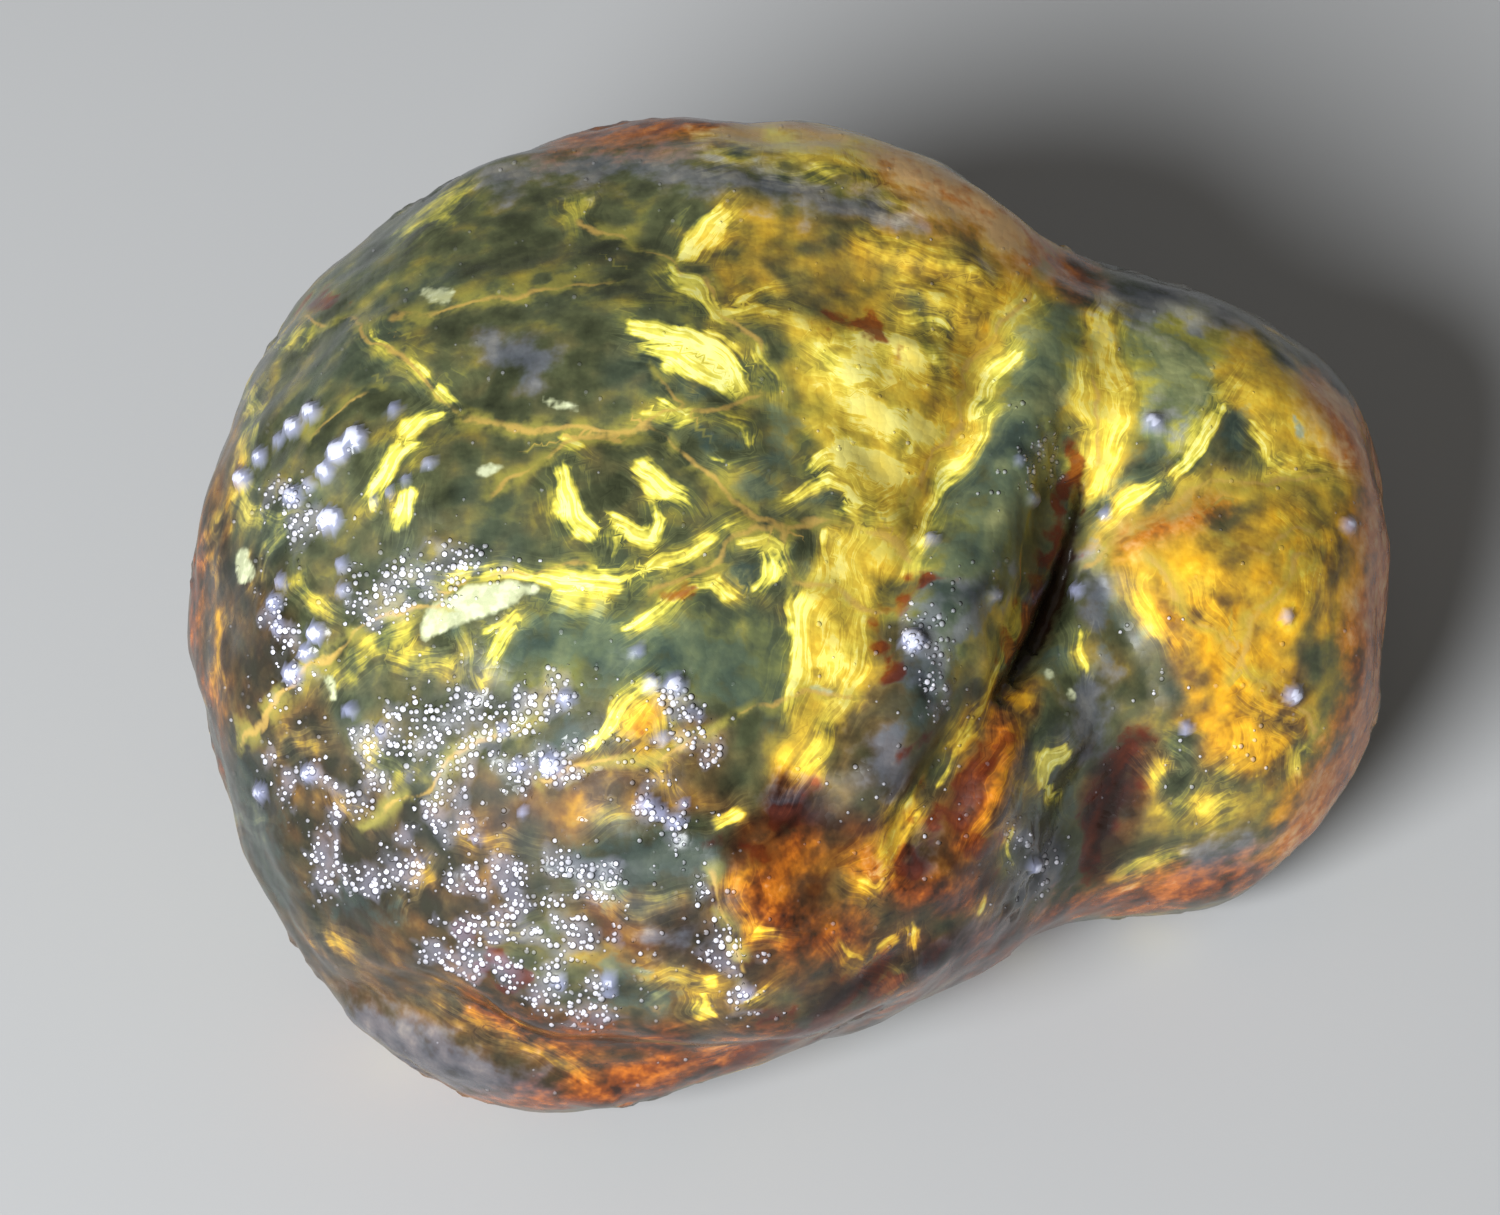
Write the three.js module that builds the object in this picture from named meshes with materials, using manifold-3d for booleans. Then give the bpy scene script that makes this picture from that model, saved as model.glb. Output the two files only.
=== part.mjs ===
// A lump of rough amber: one solid piece of fossil resin, set from several flows that ran over each other.
// Units are millimetres. +Z is up, +X is the lump's length, -Y its front. It rests on a worn flat at Z = 0.
import * as THREE from "three";
import { ImprovedNoise } from "three/addons/math/ImprovedNoise.js";
import { mergeVertices } from "three/addons/utils/BufferGeometryUtils.js";
import Module from "manifold-3d";

// ---- Driving dimensions -----------------------------------------------------------------------------
const LENGTH = 60; // of the finished lump, along X
const MESH_DETAIL = 20; // an icosphere of 20 * (MESH_DETAIL + 1)^2 triangles carries the skin
const BLEND = 2.2; // fillet where two flows run together
const CORE = new THREE.Vector3(-2, -1, 14); // the point inside the lump from which all of its skin is seen
const REACH = 60; // further from CORE than any part of the skin
const SWELLS = { size: 13, height: 1.1, seed: 0 }; // broad unevenness of the whole skin
const LUMPS = { size: 5.5, height: 0.6, seed: 40 }; // smaller lumps and dents
const PITS = { size: 3.4, height: 0.35, seed: 90 }; // the smallest unevenness that the triangles can hold

// ---- Flows of resin: centre, radii and turn about Z in degrees --------------------------------------
const FLOWS = [
  { name: "main dome", at: [-8.1, -0.6, 17.0], radii: [21.9, 26.0, 17.8], turn: 14 },
  { name: "left belly", at: [-20.8, -4.5, 13.5], radii: [7.8, 8.5, 9.0], turn: 0 },
  { name: "back shoulder", at: [0.0, 11.8, 17.8], radii: [14.8, 14.6, 14.5], turn: 0 },
  { name: "right crown", at: [17.6, 7.2, 13.9], radii: [12.9, 13.8, 11.8], turn: -10 },
  { name: "right bulge", at: [17.8, -0.9, 13.2], radii: [10.4, 10.2, 11.0], turn: 0 },
  { name: "right foot", at: [18.6, -5.2, 5.8], radii: [4.6, 3.8, 4.6], turn: 0 },
  { name: "front slope", at: [3.0, -4.4, 11.0], radii: [13.0, 12.2, 10.4], turn: 37 },
  { name: "front lip", at: [-13.2, -14.8, 7.3], radii: [10.8, 7.7, 6.6], turn: -18 },
  { name: "underside", at: [-1.0, 1.0, 7.4], radii: [21.0, 11.0, 7.2], turn: 0 },
];

// ---- Folds: a path on the skin, its half width and its rise (below zero, how far it sinks) ----------
const FOLDS = [
  {
    name: "valley beside the dome",
    path: [[13, 13, 26], [8.4, 2.6, 29], [5, -6.7, 29.3], [3.2, -14, 28.4], [0.5, -20, 26.5]],
    halfWidth: 2.2,
    rise: -0.9,
  },
  {
    name: "rolled ridge",
    path: [[13, 10.9, 26.3], [10.2, -1, 28], [6.2, -11, 27.8], [2.9, -18.8, 26.5]],
    halfWidth: 2.6,
    rise: 1.3,
  },
  {
    name: "crevice under the ridge",
    path: [[13.6, 0.5, 26.4], [12.6, -4.6, 25.4], [10.8, -9.9, 24.3], [8, -15.5, 24.6], [5, -20.3, 23.2]],
    halfWidth: 1.8,
    rise: -2.0,
  },
  {
    name: "crease across the lobe",
    path: [[13.8, -7, 23.9], [16.5, -3.6, 24.7], [21.5, 0.3, 24.3], [25, 3, 22.6]],
    halfWidth: 1.8,
    rise: -1.1,
  },
  {
    name: "fold in front of the crease",
    path: [[15.5, -8.5, 23.2], [18.5, -6, 23.6], [24, -2.6, 22.4]],
    halfWidth: 2.6,
    rise: 0.9,
  },
  {
    name: "side hollow",
    path: [[16.9, -11.7, 19.8], [15.5, -14, 16], [14, -15.5, 12]],
    halfWidth: 2.4,
    rise: -1.6,
  },
  {
    name: "crease above the lip",
    path: [[-22.5, -18.5, 9], [-16.3, -23.6, 13.5], [-8, -24.8, 11.5], [-2, -24, 11]],
    halfWidth: 2.0,
    rise: -1.0,
  },
  {
    name: "upper drip on the dome",
    path: [[-9, 2, 34.5], [-15, -4, 33], [-21, -9, 29], [-26, -12, 22]],
    halfWidth: 2.6,
    rise: 0.5,
  },
  {
    name: "lower drip on the dome",
    path: [[-6, -15, 32], [-11, -19, 29], [-17, -19, 25.5], [-23.5, -16.5, 18]],
    halfWidth: 2.2,
    rise: 0.6,
  },
  {
    name: "step down the front slope",
    path: [[-2, -20, 27.5], [1, -22.5, 22], [4.5, -22, 17]],
    halfWidth: 2.2,
    rise: -0.9,
  },
  {
    name: "back gully",
    path: [[11, 19, 22], [9, 22, 15], [10, 20, 8]],
    halfWidth: 3.0,
    rise: -1.1,
  },
  {
    name: "back fold",
    path: [[-24, 14, 18], [-16, 22, 17], [-6, 26, 14]],
    halfWidth: 2.8,
    rise: 0.8,
  },
];

// ---- The skin as a distance: negative inside, positive outside --------------------------------------
function distanceToFlow(point, flow) {
  const radii = new THREE.Vector3(...flow.radii);
  const local = point.clone().sub(new THREE.Vector3(...flow.at));
  local.applyAxisAngle(new THREE.Vector3(0, 0, 1), -THREE.MathUtils.degToRad(flow.turn));
  local.divide(radii);
  const reach = local.length();
  const steep = local.divide(radii).length();
  return steep > 0 ? (reach * (reach - 1)) / steep : -Math.min(...flow.radii);
}

function distanceToLump(point) {
  const total = FLOWS.reduce((sum, flow) => sum + Math.exp(-distanceToFlow(point, flow) / BLEND), 0);
  return -BLEND * Math.log(total);
}

// How far the skin lies from CORE along a direction, by halving the span that holds it.
function baseRadius(direction) {
  let inside = 0;
  let outside = REACH;
  for (let step = 0; step < 30; step++) {
    const middle = (inside + outside) / 2;
    const point = CORE.clone().addScaledVector(direction, middle);
    if (distanceToLump(point) < 0) inside = middle;
    else outside = middle;
  }
  return (inside + outside) / 2;
}

// ---- Relief on the skin -----------------------------------------------------------------------------
const noise = new ImprovedNoise();

function unevenness(point, { size, height, seed }) {
  return height * noise.noise(point.x / size + seed, point.y / size, point.z / size);
}

function distanceToPath(point, path) {
  const corners = path.map((corner) => new THREE.Vector3(...corner));
  let nearest = Infinity;
  for (let i = 1; i < corners.length; i++) {
    const stretch = new THREE.Line3(corners[i - 1], corners[i]);
    const closest = stretch.closestPointToPoint(point, true, new THREE.Vector3());
    nearest = Math.min(nearest, closest.distanceTo(point));
  }
  return nearest;
}

function foldHeight(point) {
  return FOLDS.reduce((sum, fold) => {
    const across = distanceToPath(point, fold.path) / fold.halfWidth;
    return sum + fold.rise * Math.exp(-across * across);
  }, 0);
}

function relief(point) {
  return unevenness(point, SWELLS) + unevenness(point, LUMPS) + unevenness(point, PITS) + foldHeight(point);
}

// ---- The solid --------------------------------------------------------------------------------------
function skinGeometry() {
  const ball = new THREE.IcosahedronGeometry(1, MESH_DETAIL);
  ball.deleteAttribute("normal");
  ball.deleteAttribute("uv");
  const skin = mergeVertices(ball, 1e-5);
  const place = skin.getAttribute("position");
  const direction = new THREE.Vector3();
  for (let i = 0; i < place.count; i++) {
    direction.fromBufferAttribute(place, i).normalize();
    const base = CORE.clone().addScaledVector(direction, baseRadius(direction));
    base.addScaledVector(direction, relief(base));
    place.setXYZ(i, base.x, base.y, base.z);
  }
  return skin;
}

const wasm = await Module();
wasm.setup();

function toSolid(geometry) {
  return new wasm.Manifold(
    new wasm.Mesh({
      numProp: 3,
      vertProperties: new Float32Array(geometry.getAttribute("position").array),
      triVerts: new Uint32Array(geometry.index.array),
    }),
  );
}

function toGeometry(solid) {
  const mesh = solid.getMesh();
  const geometry = new THREE.BufferGeometry();
  geometry.setAttribute("position", new THREE.BufferAttribute(new Float32Array(mesh.vertProperties), 3));
  geometry.setIndex(new THREE.BufferAttribute(new Uint32Array(mesh.triVerts), 1));
  return geometry;
}

// All that reaches below Z = 0 has been worn away.
function floorBlock() {
  const block = new THREE.BoxGeometry(4 * REACH, 4 * REACH, REACH);
  block.translate(0, 0, -REACH / 2);
  block.deleteAttribute("normal");
  block.deleteAttribute("uv");
  return mergeVertices(block, 1e-5);
}

function lumpGeometry() {
  const lump = toGeometry(toSolid(skinGeometry()).subtract(toSolid(floorBlock())));
  lump.computeBoundingBox();
  const size = lump.boundingBox.getSize(new THREE.Vector3());
  const middle = lump.boundingBox.getCenter(new THREE.Vector3());
  lump.translate(-middle.x, -middle.y, 0);
  const scale = LENGTH / size.x;
  lump.scale(scale, scale, scale);
  lump.computeVertexNormals();
  return lump;
}

const amber = new THREE.Mesh(
  lumpGeometry(),
  new THREE.MeshStandardMaterial({ color: 0x6b5414, roughness: 0.25, metalness: 0 }),
);
amber.name = "amber";

const part = new THREE.Group();
part.add(amber);
export default part;
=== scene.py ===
# %% [markdown]
# # A lump of rough amber
# The lump is one piece of fossil resin. Several flows ran over each other before they set, so there is
# a big dome, a side lobe, a rolled ridge with a crevice under it, and a lip at the front. The packed
# frame gives its size and its main shape. This script adds what a hand lens would show: the fine skin,
# the veins and gold sheets inside the resin, the gloss, and the clear places that let light through.

# %% The frame
import math

import bpy
import numpy as np
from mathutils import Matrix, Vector, noise


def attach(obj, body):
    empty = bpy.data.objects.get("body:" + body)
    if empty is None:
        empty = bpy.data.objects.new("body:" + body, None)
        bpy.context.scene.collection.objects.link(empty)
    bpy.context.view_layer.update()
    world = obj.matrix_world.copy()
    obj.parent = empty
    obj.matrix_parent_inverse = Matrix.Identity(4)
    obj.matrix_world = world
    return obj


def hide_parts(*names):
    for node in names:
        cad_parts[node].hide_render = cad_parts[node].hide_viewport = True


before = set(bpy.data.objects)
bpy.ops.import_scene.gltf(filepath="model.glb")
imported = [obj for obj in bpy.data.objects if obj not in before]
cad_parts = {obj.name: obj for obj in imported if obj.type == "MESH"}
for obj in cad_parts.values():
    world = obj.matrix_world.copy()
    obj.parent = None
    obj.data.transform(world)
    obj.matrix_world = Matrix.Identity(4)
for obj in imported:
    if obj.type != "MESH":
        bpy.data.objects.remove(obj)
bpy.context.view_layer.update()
MM = 0.001

# %% [markdown]
# ## Camera
# The lump is looked down on from its front at 50 degrees, from 30 cm away with a long lens, as in a
# close-up. The camera could be placed by eye, but then it would drift whenever the lump changed. Here
# its place is worked out from the point it aims at, the angle and the distance, and its lens from the
# width that it should show.

# %% The camera
VIEW_ANGLE = math.radians(50)
VIEW_DISTANCE = 300 * MM
VIEW_WIDTH = 74.3 * MM
NEAREST_SEEN = 1 * MM
AIM = Vector((-2.2, 0, 15)) * MM
TO_CAMERA = Vector((0, -math.cos(VIEW_ANGLE), math.sin(VIEW_ANGLE)))

bpy.ops.object.select_all(action="DESELECT")
bpy.ops.object.camera_add(
    location=AIM + TO_CAMERA * VIEW_DISTANCE,
    rotation=(math.pi / 2 - VIEW_ANGLE, 0, 0),
)
camera = bpy.context.active_object
camera.name = "camera"
camera.data.lens = camera.data.sensor_width * VIEW_DISTANCE / VIEW_WIDTH
camera.data.clip_start = NEAREST_SEEN
bpy.context.scene.camera = camera
print("the lens is", round(camera.data.lens, 1), "mm")

# %% [markdown]
# ## Floor
# The lump needs something to lie on and to throw its shadow on.

# %% The floor
FLOOR_WIDTH = 4
FLOOR_COLOUR = (0.43, 0.43, 0.43, 1)
bpy.ops.mesh.primitive_plane_add(size=FLOOR_WIDTH)
floor = bpy.context.active_object
floor.name = "floor"
paper = bpy.data.materials.new("pale_paper")
paper.use_nodes = True
paper_shader = paper.node_tree.nodes["Principled BSDF"]
paper_shader.inputs["Base Color"].default_value = FLOOR_COLOUR
paper_shader.inputs["Roughness"].default_value = 0.9
paper_shader.inputs["Specular IOR Level"].default_value = 0.2
floor.data.materials.append(paper)
print("the floor is", FLOOR_WIDTH, "m wide")

# %% [markdown]
# ## Light
# Wet-looking resin shows whatever shines on it. One big soft light would cover the dome with a milky
# patch and hide the veins. So the main light is a fairly small disc, low at the front left: each bump
# of the skin turns it into a point of light, and the shadow falls to the back right. An even pale sky
# fills the shadows.

# %% The lamp and the sky
LAMP_DIRECTION = Vector((-0.46, -0.72, 0.54)).normalized()
LAMP_DISTANCE = 0.7
LAMP_WIDTH = 0.34
LAMP_WATTS = 11
LAMP_COLOUR = (0.94, 0.97, 1.0)
SKY_COLOUR = (1.0, 0.98, 0.94, 1)
SKY_STRENGTH = 0.16
lamp_place = AIM + LAMP_DIRECTION * LAMP_DISTANCE
bpy.ops.object.light_add(type="AREA", location=lamp_place)
lamp = bpy.context.active_object
lamp.name = "key_light"
lamp.rotation_euler = (AIM - lamp_place).to_track_quat("-Z", "Y").to_euler()
lamp.data.shape = "DISK"
lamp.data.size = LAMP_WIDTH
lamp.data.energy = LAMP_WATTS
lamp.data.color = LAMP_COLOUR
sky = bpy.data.worlds.new("even_sky")
sky.use_nodes = True
sky.node_tree.nodes["Background"].inputs["Color"].default_value = SKY_COLOUR
sky.node_tree.nodes["Background"].inputs["Strength"].default_value = SKY_STRENGTH
bpy.context.scene.world = sky
bpy.context.scene.view_settings.view_transform = "Standard"
print("the lamp hangs", round(lamp_place.z, 2), "m up")

# %% [markdown]
# ## The skin's mesh
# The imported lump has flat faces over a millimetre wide. Its mesh stays as it is, because it is also
# what the physics uses, so the skin starts from a copy. The copy's loose triangles are merged, one
# subdivision rounds them, and a voxel remesh gives even faces of a third of a millimetre that can carry
# fine relief anywhere. The face size is as small as it can be with the skin under 200,000 triangles.

# %% Working on one piece
def take(piece):
    bpy.ops.object.select_all(action="DESELECT")
    piece.select_set(True)
    bpy.context.view_layer.objects.active = piece


def apply_modifier(piece, name, kind, **settings):
    take(piece)
    modifier = piece.modifiers.new(name, kind)
    for setting, value in settings.items():
        setattr(modifier, setting, value)
    bpy.ops.object.modifier_apply(modifier=modifier.name)


# %% Copy, merge, round and remesh
FACE_SIZE = 0.336 * MM
MERGE_GAP = 0.001 * MM
skin = bpy.data.objects.new("amber_skin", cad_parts["amber"].data.copy())
bpy.context.scene.collection.objects.link(skin)
take(skin)
bpy.ops.object.mode_set(mode="EDIT")
bpy.ops.mesh.select_all(action="SELECT")
bpy.ops.mesh.remove_doubles(threshold=MERGE_GAP)
bpy.ops.object.mode_set(mode="OBJECT")
bpy.ops.mesh.customdata_custom_splitnormals_clear()
apply_modifier(skin, "round_facets", "SUBSURF", levels=1, render_levels=1)
apply_modifier(skin, "even_faces", "REMESH", mode="VOXEL", voxel_size=FACE_SIZE)
apply_modifier(skin, "ease_steps", "SMOOTH", factor=0.5, iterations=5)
print("the skin has", len(skin.data.polygons), "faces")

# %% [markdown]
# ## A drawing sheet for marks
# Veins, gold sheets and stains lie where the flows put them, so they are given one by one. Painting
# straight on a curved mesh would need thousands of places. Instead each mark is a stroke on a flat
# sheet that leans against the front of the lump: how far along it is (x) and how far up the sheet, both
# in millimetres. A third number is the stroke's half width there. Every point of the skin that faces
# the sheet then asks how far inside the nearest stroke it is.

# %% The sheet
SHEET_TILT = math.radians(50)
SHEET_FOOT = 15
UP_SHEET = np.array([0, math.sin(SHEET_TILT), math.cos(SHEET_TILT)])
OUT_OF_SHEET = np.array([0, -math.cos(SHEET_TILT), math.sin(SHEET_TILT)])
print("the sheet looks down at", round(math.degrees(SHEET_TILT)), "degrees, as the camera does")


def read_points():
    """All the skin's points and their normals, points in millimetres."""
    count = len(skin.data.vertices)
    points = np.empty(count * 3)
    normals = np.empty(count * 3)
    skin.data.vertices.foreach_get("co", points)
    skin.data.vertices.foreach_get("normal", normals)
    return points.reshape(-1, 3) / MM, normals.reshape(-1, 3)


def on_sheet(points):
    return np.column_stack([points[:, 0], (points - [0, 0, SHEET_FOOT]) @ UP_SHEET])


# %% The strokes on it
REACH = 4.0  # millimetres past a stroke's edge; nothing further out is measured


def ease(values, low, high):
    """0 below low, 1 above high, and a soft step between."""
    share = np.clip((values - low) / (high - low), 0, 1)
    return share * share * (3 - 2 * share)


def lay_strokes(places, strokes):
    """For each place: millimetres inside the nearest stroke (down to -REACH), across it and along it."""
    inside = np.full(len(places), -REACH)
    across = np.zeros(len(places))
    along = np.zeros(len(places))
    for line in strokes:
        corners = np.array(line if len(line) > 1 else line * 2, float)
        widths = corners[:, 2] if corners.shape[1] > 2 else np.zeros(len(corners))
        corners = corners[:, :2]
        margin = widths.max() + REACH
        near = np.all((places > corners.min(0) - margin) & (places < corners.max(0) + margin), axis=1)
        near = np.nonzero(near)[0]
        travelled = 0.0
        for i in range(len(corners) - 1):
            length = max(np.linalg.norm(corners[i + 1] - corners[i]), 1e-6)
            forward = (corners[i + 1] - corners[i]) / length
            offset = places[near] - corners[i]
            run = offset @ forward
            share = np.clip(run / length, 0, 1)
            gap = np.linalg.norm(offset - share[:, None] * (corners[i + 1] - corners[i]), axis=1)
            depth = widths[i] + share * (widths[i + 1] - widths[i]) - gap
            better = depth > inside[near]
            chosen = near[better]
            inside[chosen] = depth[better]
            across[chosen] = (offset @ np.array([-forward[1], forward[0]]))[better]
            along[chosen] = travelled + run[better]
            travelled += length
    return inside, across, along


def depth_in(places, strokes):
    return lay_strokes(places, strokes)[0]


# %% [markdown]
# ## Keeping values, and soft noise
# A value for each point can be kept on the mesh as an attribute, which modifiers and materials can
# read. Clouds of soft noise make drawn edges wander, as they do in a natural thing. The noise depends
# only on the place, so it comes out the same in each run.

# %% Attributes and clouds
def store(name, values):
    layer = skin.data.attributes.get(name) or skin.data.attributes.new(name, "FLOAT", "POINT")
    layer.data.foreach_set("value", values.astype(np.float32))


def clouds(points, size, shift=0.0, octaves=2):
    """Soft noise at each point, about -0.5 to 0.5, with clouds of about that size in millimetres."""
    moved = (points + shift) / size
    return np.array([noise.fractal(place, 1.0, 2.0, octaves) for place in moved]) * 0.6


# %% [markdown]
# ## Carving the folds
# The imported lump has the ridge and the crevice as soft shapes. On the real one the ridge leans over a
# narrow dark slit, and thin creases mark where one flow stopped on another. Each of these is a group of
# points weighted by how far inside its strokes they lie, and a displace modifier moves the group: along
# the skin's normal to sink or raise it, and sideways to make the ridge lean. Sculpting by hand would
# also do it, but could not be repeated when the lump changes.

# %% Groups and displacement
FAINTEST_WEIGHT = 0.01


def facing(normals):
    """1 where the skin faces the sheet, fading to 0 where it turns away."""
    return ease(normals @ OUT_OF_SHEET, 0.0, 0.28)


def weigh(name, weights):
    group = skin.vertex_groups.get(name) or skin.vertex_groups.new(name=name)
    for i in np.nonzero(weights > FAINTEST_WEIGHT)[0]:
        group.add([int(i)], float(weights[i]), "REPLACE")
    return name


def displace(name, weights, millimetres, direction="NORMAL"):
    """Moves the points, each by its weight's share of that many millimetres."""
    apply_modifier(
        skin, name, "DISPLACE", vertex_group=weigh(name, weights), direction=direction,
        strength=millimetres * MM, mid_level=0,
    )


def stroke_weights(strokes, feather):
    """Weights that fade over that many millimetres on both sides of the strokes' edges."""
    points, normals = read_points()
    return facing(normals) * ease(depth_in(on_sheet(points), strokes), -feather, feather)


# %% The crevice and the ridge that leans over it
CREVICE = [
    [(13.9, 7, 0.05), (13.6, 4.8, 0.3), (13, 2.6, 0.5), (12.4, 0.6, 0.65), (11.5, -1.4, 0.65),
     (10.3, -3.2, 0.35), (9.3, -4.3, 0.05)],
]
LEANING_EDGE = [
    [(13.0, 7.0, 0.2), (12.2, 4.4, 0.5), (11.2, 1.4, 0.7), (9.8, -1.6, 0.7), (8.4, -4.0, 0.4),
     (7.0, -6.4, 0.2)],
]
RIDGE_TOP = [
    [(11.6, 12.0, 0.8), (10.4, 7.0, 1.4), (8.4, 2.6, 1.6), (6.4, -1.6, 1.6), (4.8, -5.6, 1.2),
     (3.4, -8.6, 0.6)],
]
SLIT_RISE = -1.5
RIDGE_RISE = 0.35
RIDGE_LEAN = 0.9
displace("crevice", stroke_weights(CREVICE, feather=0.7), millimetres=SLIT_RISE)
displace("ridge_top", stroke_weights(RIDGE_TOP, feather=1.4), millimetres=RIDGE_RISE)
edge_weights = stroke_weights(LEANING_EDGE, feather=0.9)
displace("leaning_edge", edge_weights, millimetres=RIDGE_LEAN, direction="X")
print("the slit is", -SLIT_RISE, "mm deeper, and the ridge leans", RIDGE_LEAN, "mm over it")

# %% Creases, hollows and ledges
CREASES = [
    [(14.2, 2.2, 0.05), (16.4, 4, 0.15), (18.4, 5.1, 0.2), (20.2, 6, 0.15), (22.4, 6.3, 0.05),
     (25, 6.3, 0.05)],
    [(3, -17.5, 0.1), (3.8, -16.8, 0.2), (5.2, -16.5, 0.1)],
    [(-22, -18.2, 0.05), (-18, -19.4, 0.1), (-14.6, -20.2, 0.15), (-11, -22.4, 0.15),
     (-7, -22, 0.1)],
    [(-10.5, 8, 0.05), (-7, 8.3, 0.1), (-4.4, 6.4, 0.1), (-2, 4.4, 0.1), (1, 4.1, 0.05)],
    [(-12, -7.7, 0.05), (-8, -7.1, 0.1), (-4, -6, 0.1), (-1, -4.1, 0.05)],
    [(-17, 0.2, 0.05), (-20, -1, 0.1), (-23.6, -3.8, 0.1), (-26, -6, 0.05)],
    [(-12.4, -5.4, 0.05), (-15.6, -7, 0.12), (-19.6, -9.8, 0.05)],
    [(-1.6, -9, 0.1), (-2.8, -11.4, 0.1), (-3.6, -14, 0.1), (-2.6, -17.8, 0.05)],
    [(8.4, -6.8, 0.05), (7.6, -9, 0.15), (7, -11.6, 0.05)],
    [(5, -9.4, 0.05), (4.8, -11, 0.2), (4.9, -12.6, 0.05)],
]
HOLLOWS = [
    [(16.2, -6.6, 0.2), (15.5, -8.6, 0.6), (14.8, -10.6, 0.6), (14.2, -12.8, 0.3)],
    [(14.8, 1, 0.3), (15.8, -1.6, 0.6), (17, -4, 0.4)],
    [(7.6, 6.6, 0.2), (6.2, 4, 0.3), (4.6, 0.4, 0.3), (3.4, -3, 0.3), (2, -7, 0.2)],
    [(-9, -12, 0.8), (-5, -12.2, 0.8)],
]
LEDGES = [
    [(15.4, 1.6, 0.3), (17, 3.2, 0.5), (19.6, 4.4, 0.4)],
    [(-21, -19.6, 0.8), (-17.6, -21.2, 1), (-13.2, -22.6, 0.8), (-9, -23.4, 0.5)],
    [(10, -5.4, 0.3), (9.4, -8.4, 0.6), (8.6, -11, 0.4)],
    [(3.4, 12.8, 0.3), (7.4, 11.9, 0.3)],
    [(4.2, 17.4, 0.2), (9, 16.2, 0.3)],
    [(5.4, 15.4, 0.2), (8.4, 14.4, 0.3)],
]
displace("creases", stroke_weights(CREASES, feather=0.45), millimetres=-0.45)
displace("hollows", stroke_weights(HOLLOWS, feather=0.9), millimetres=-0.7)
displace("ledges", stroke_weights(LEDGES, feather=0.8), millimetres=0.45)
apply_modifier(skin, "even_faces_again", "REMESH", mode="VOXEL", voxel_size=FACE_SIZE)
apply_modifier(skin, "ease_steps_again", "SMOOTH", factor=0.5, iterations=3)
print("after carving, the skin has", len(skin.data.polygons), "faces")

# %% [markdown]
# ## Crust and beads
# On the left the skin is pebbly, because small bubbles rose there while the resin was still sticky.
# Single bubbles are sprinkled around it, and rows of bigger drops ran down beside it. All of them catch
# the light as points, and the material also paints a white highlight on the top of each one. A bubble
# of the crust is about as wide as one face, so the mesh can't hold it: here the crusted skin only
# swells in soft clouds, and the material draws the bubbles later. A drop is bigger, so each one is a
# real dome.

# %% Crust and sprinkle
CRUST = [
    [(-20.2, -6.4, 0.4), (-18.6, -6.2, 0.9), (-16.8, -5.6, 1), (-15, -4.8, 0.6)],
    [(-15.6, -4.6, 0.5), (-13.4, -4.4, 0.6), (-11.4, -4.2, 0.7)],
    [(-16.8, -7.8, 0.5), (-15, -6.6, 0.5), (-12.8, -5.6, 0.5)],
    [(-13.6, -7.6, 0.3), (-11.8, -7.4, 0.6), (-10.6, -6.8, 0.5)],
    [(-18.2, -10.3, 0.4), (-16.4, -9.6, 0.7), (-15.2, -8.9, 0.4)],
    [(-22, -8.2, 0.3), (-20.6, -8.6, 0.5), (-19.6, -8.4, 0.3)],
    [(-24.4, -8.3, 0.5)],
    [(-22.4, -11.4, 0.4), (-22.2, -13.2, 0.3)],
    [(-20.6, -13, 0.4), (-19.2, -12.6, 0.6), (-17.6, -12.2, 0.4)],
    [(-15, -12.6, 0.5), (-13.4, -12.6, 0.8), (-12.8, -13.8, 0.7), (-13.6, -14.6, 0.4)],
    [(-11, -12.2, 0.5), (-9.2, -12.4, 0.6)],
    [(-15.4, -14.6, 0.4), (-14.2, -15.4, 0.5)],
    [(-12.8, -15.4, 0.4), (-11.2, -15, 0.6), (-9.8, -15.2, 0.5)],
    [(-17, -16.2, 0.4), (-15.4, -16.6, 0.5)],
    [(-14.8, -16.2, 0.5), (-13, -17, 0.9), (-11.4, -18.2, 0.9), (-9.4, -18.4, 0.8)],
    [(-3.9, -13.8, 0.4), (-3.4, -15.6, 0.5), (-2.4, -18, 0.5)],
    [(-24.6, 5, 0.5), (-23, 3.4, 0.4)],
    [(-20, 0.4, 0.6), (-18.6, 1.6, 0.6), (-16.6, 1.4, 0.5), (-14.6, 2, 0.3)],
    [(-24.8, -0.4, 0.4), (-23.6, -3.2, 0.4)],
    [(-6.9, -9, 0.4), (-5.4, -10.2, 0.4)],
    [(-4.4, -6, 0.4), (-5.6, -4.4, 0.5)],
    [(-7, -5.6, 0.3)],
    [(11.2, -10.8, 0.5), (11.6, -12.6, 0.5), (10.2, -14.2, 0.3)],
    [(5.6, -1, 0.4), (6.4, -2.4, 0.4), (7, -4, 0.3)],
    [(11.6, 7.6, 0.3), (12.2, 6.2, 0.3)],
]
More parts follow.
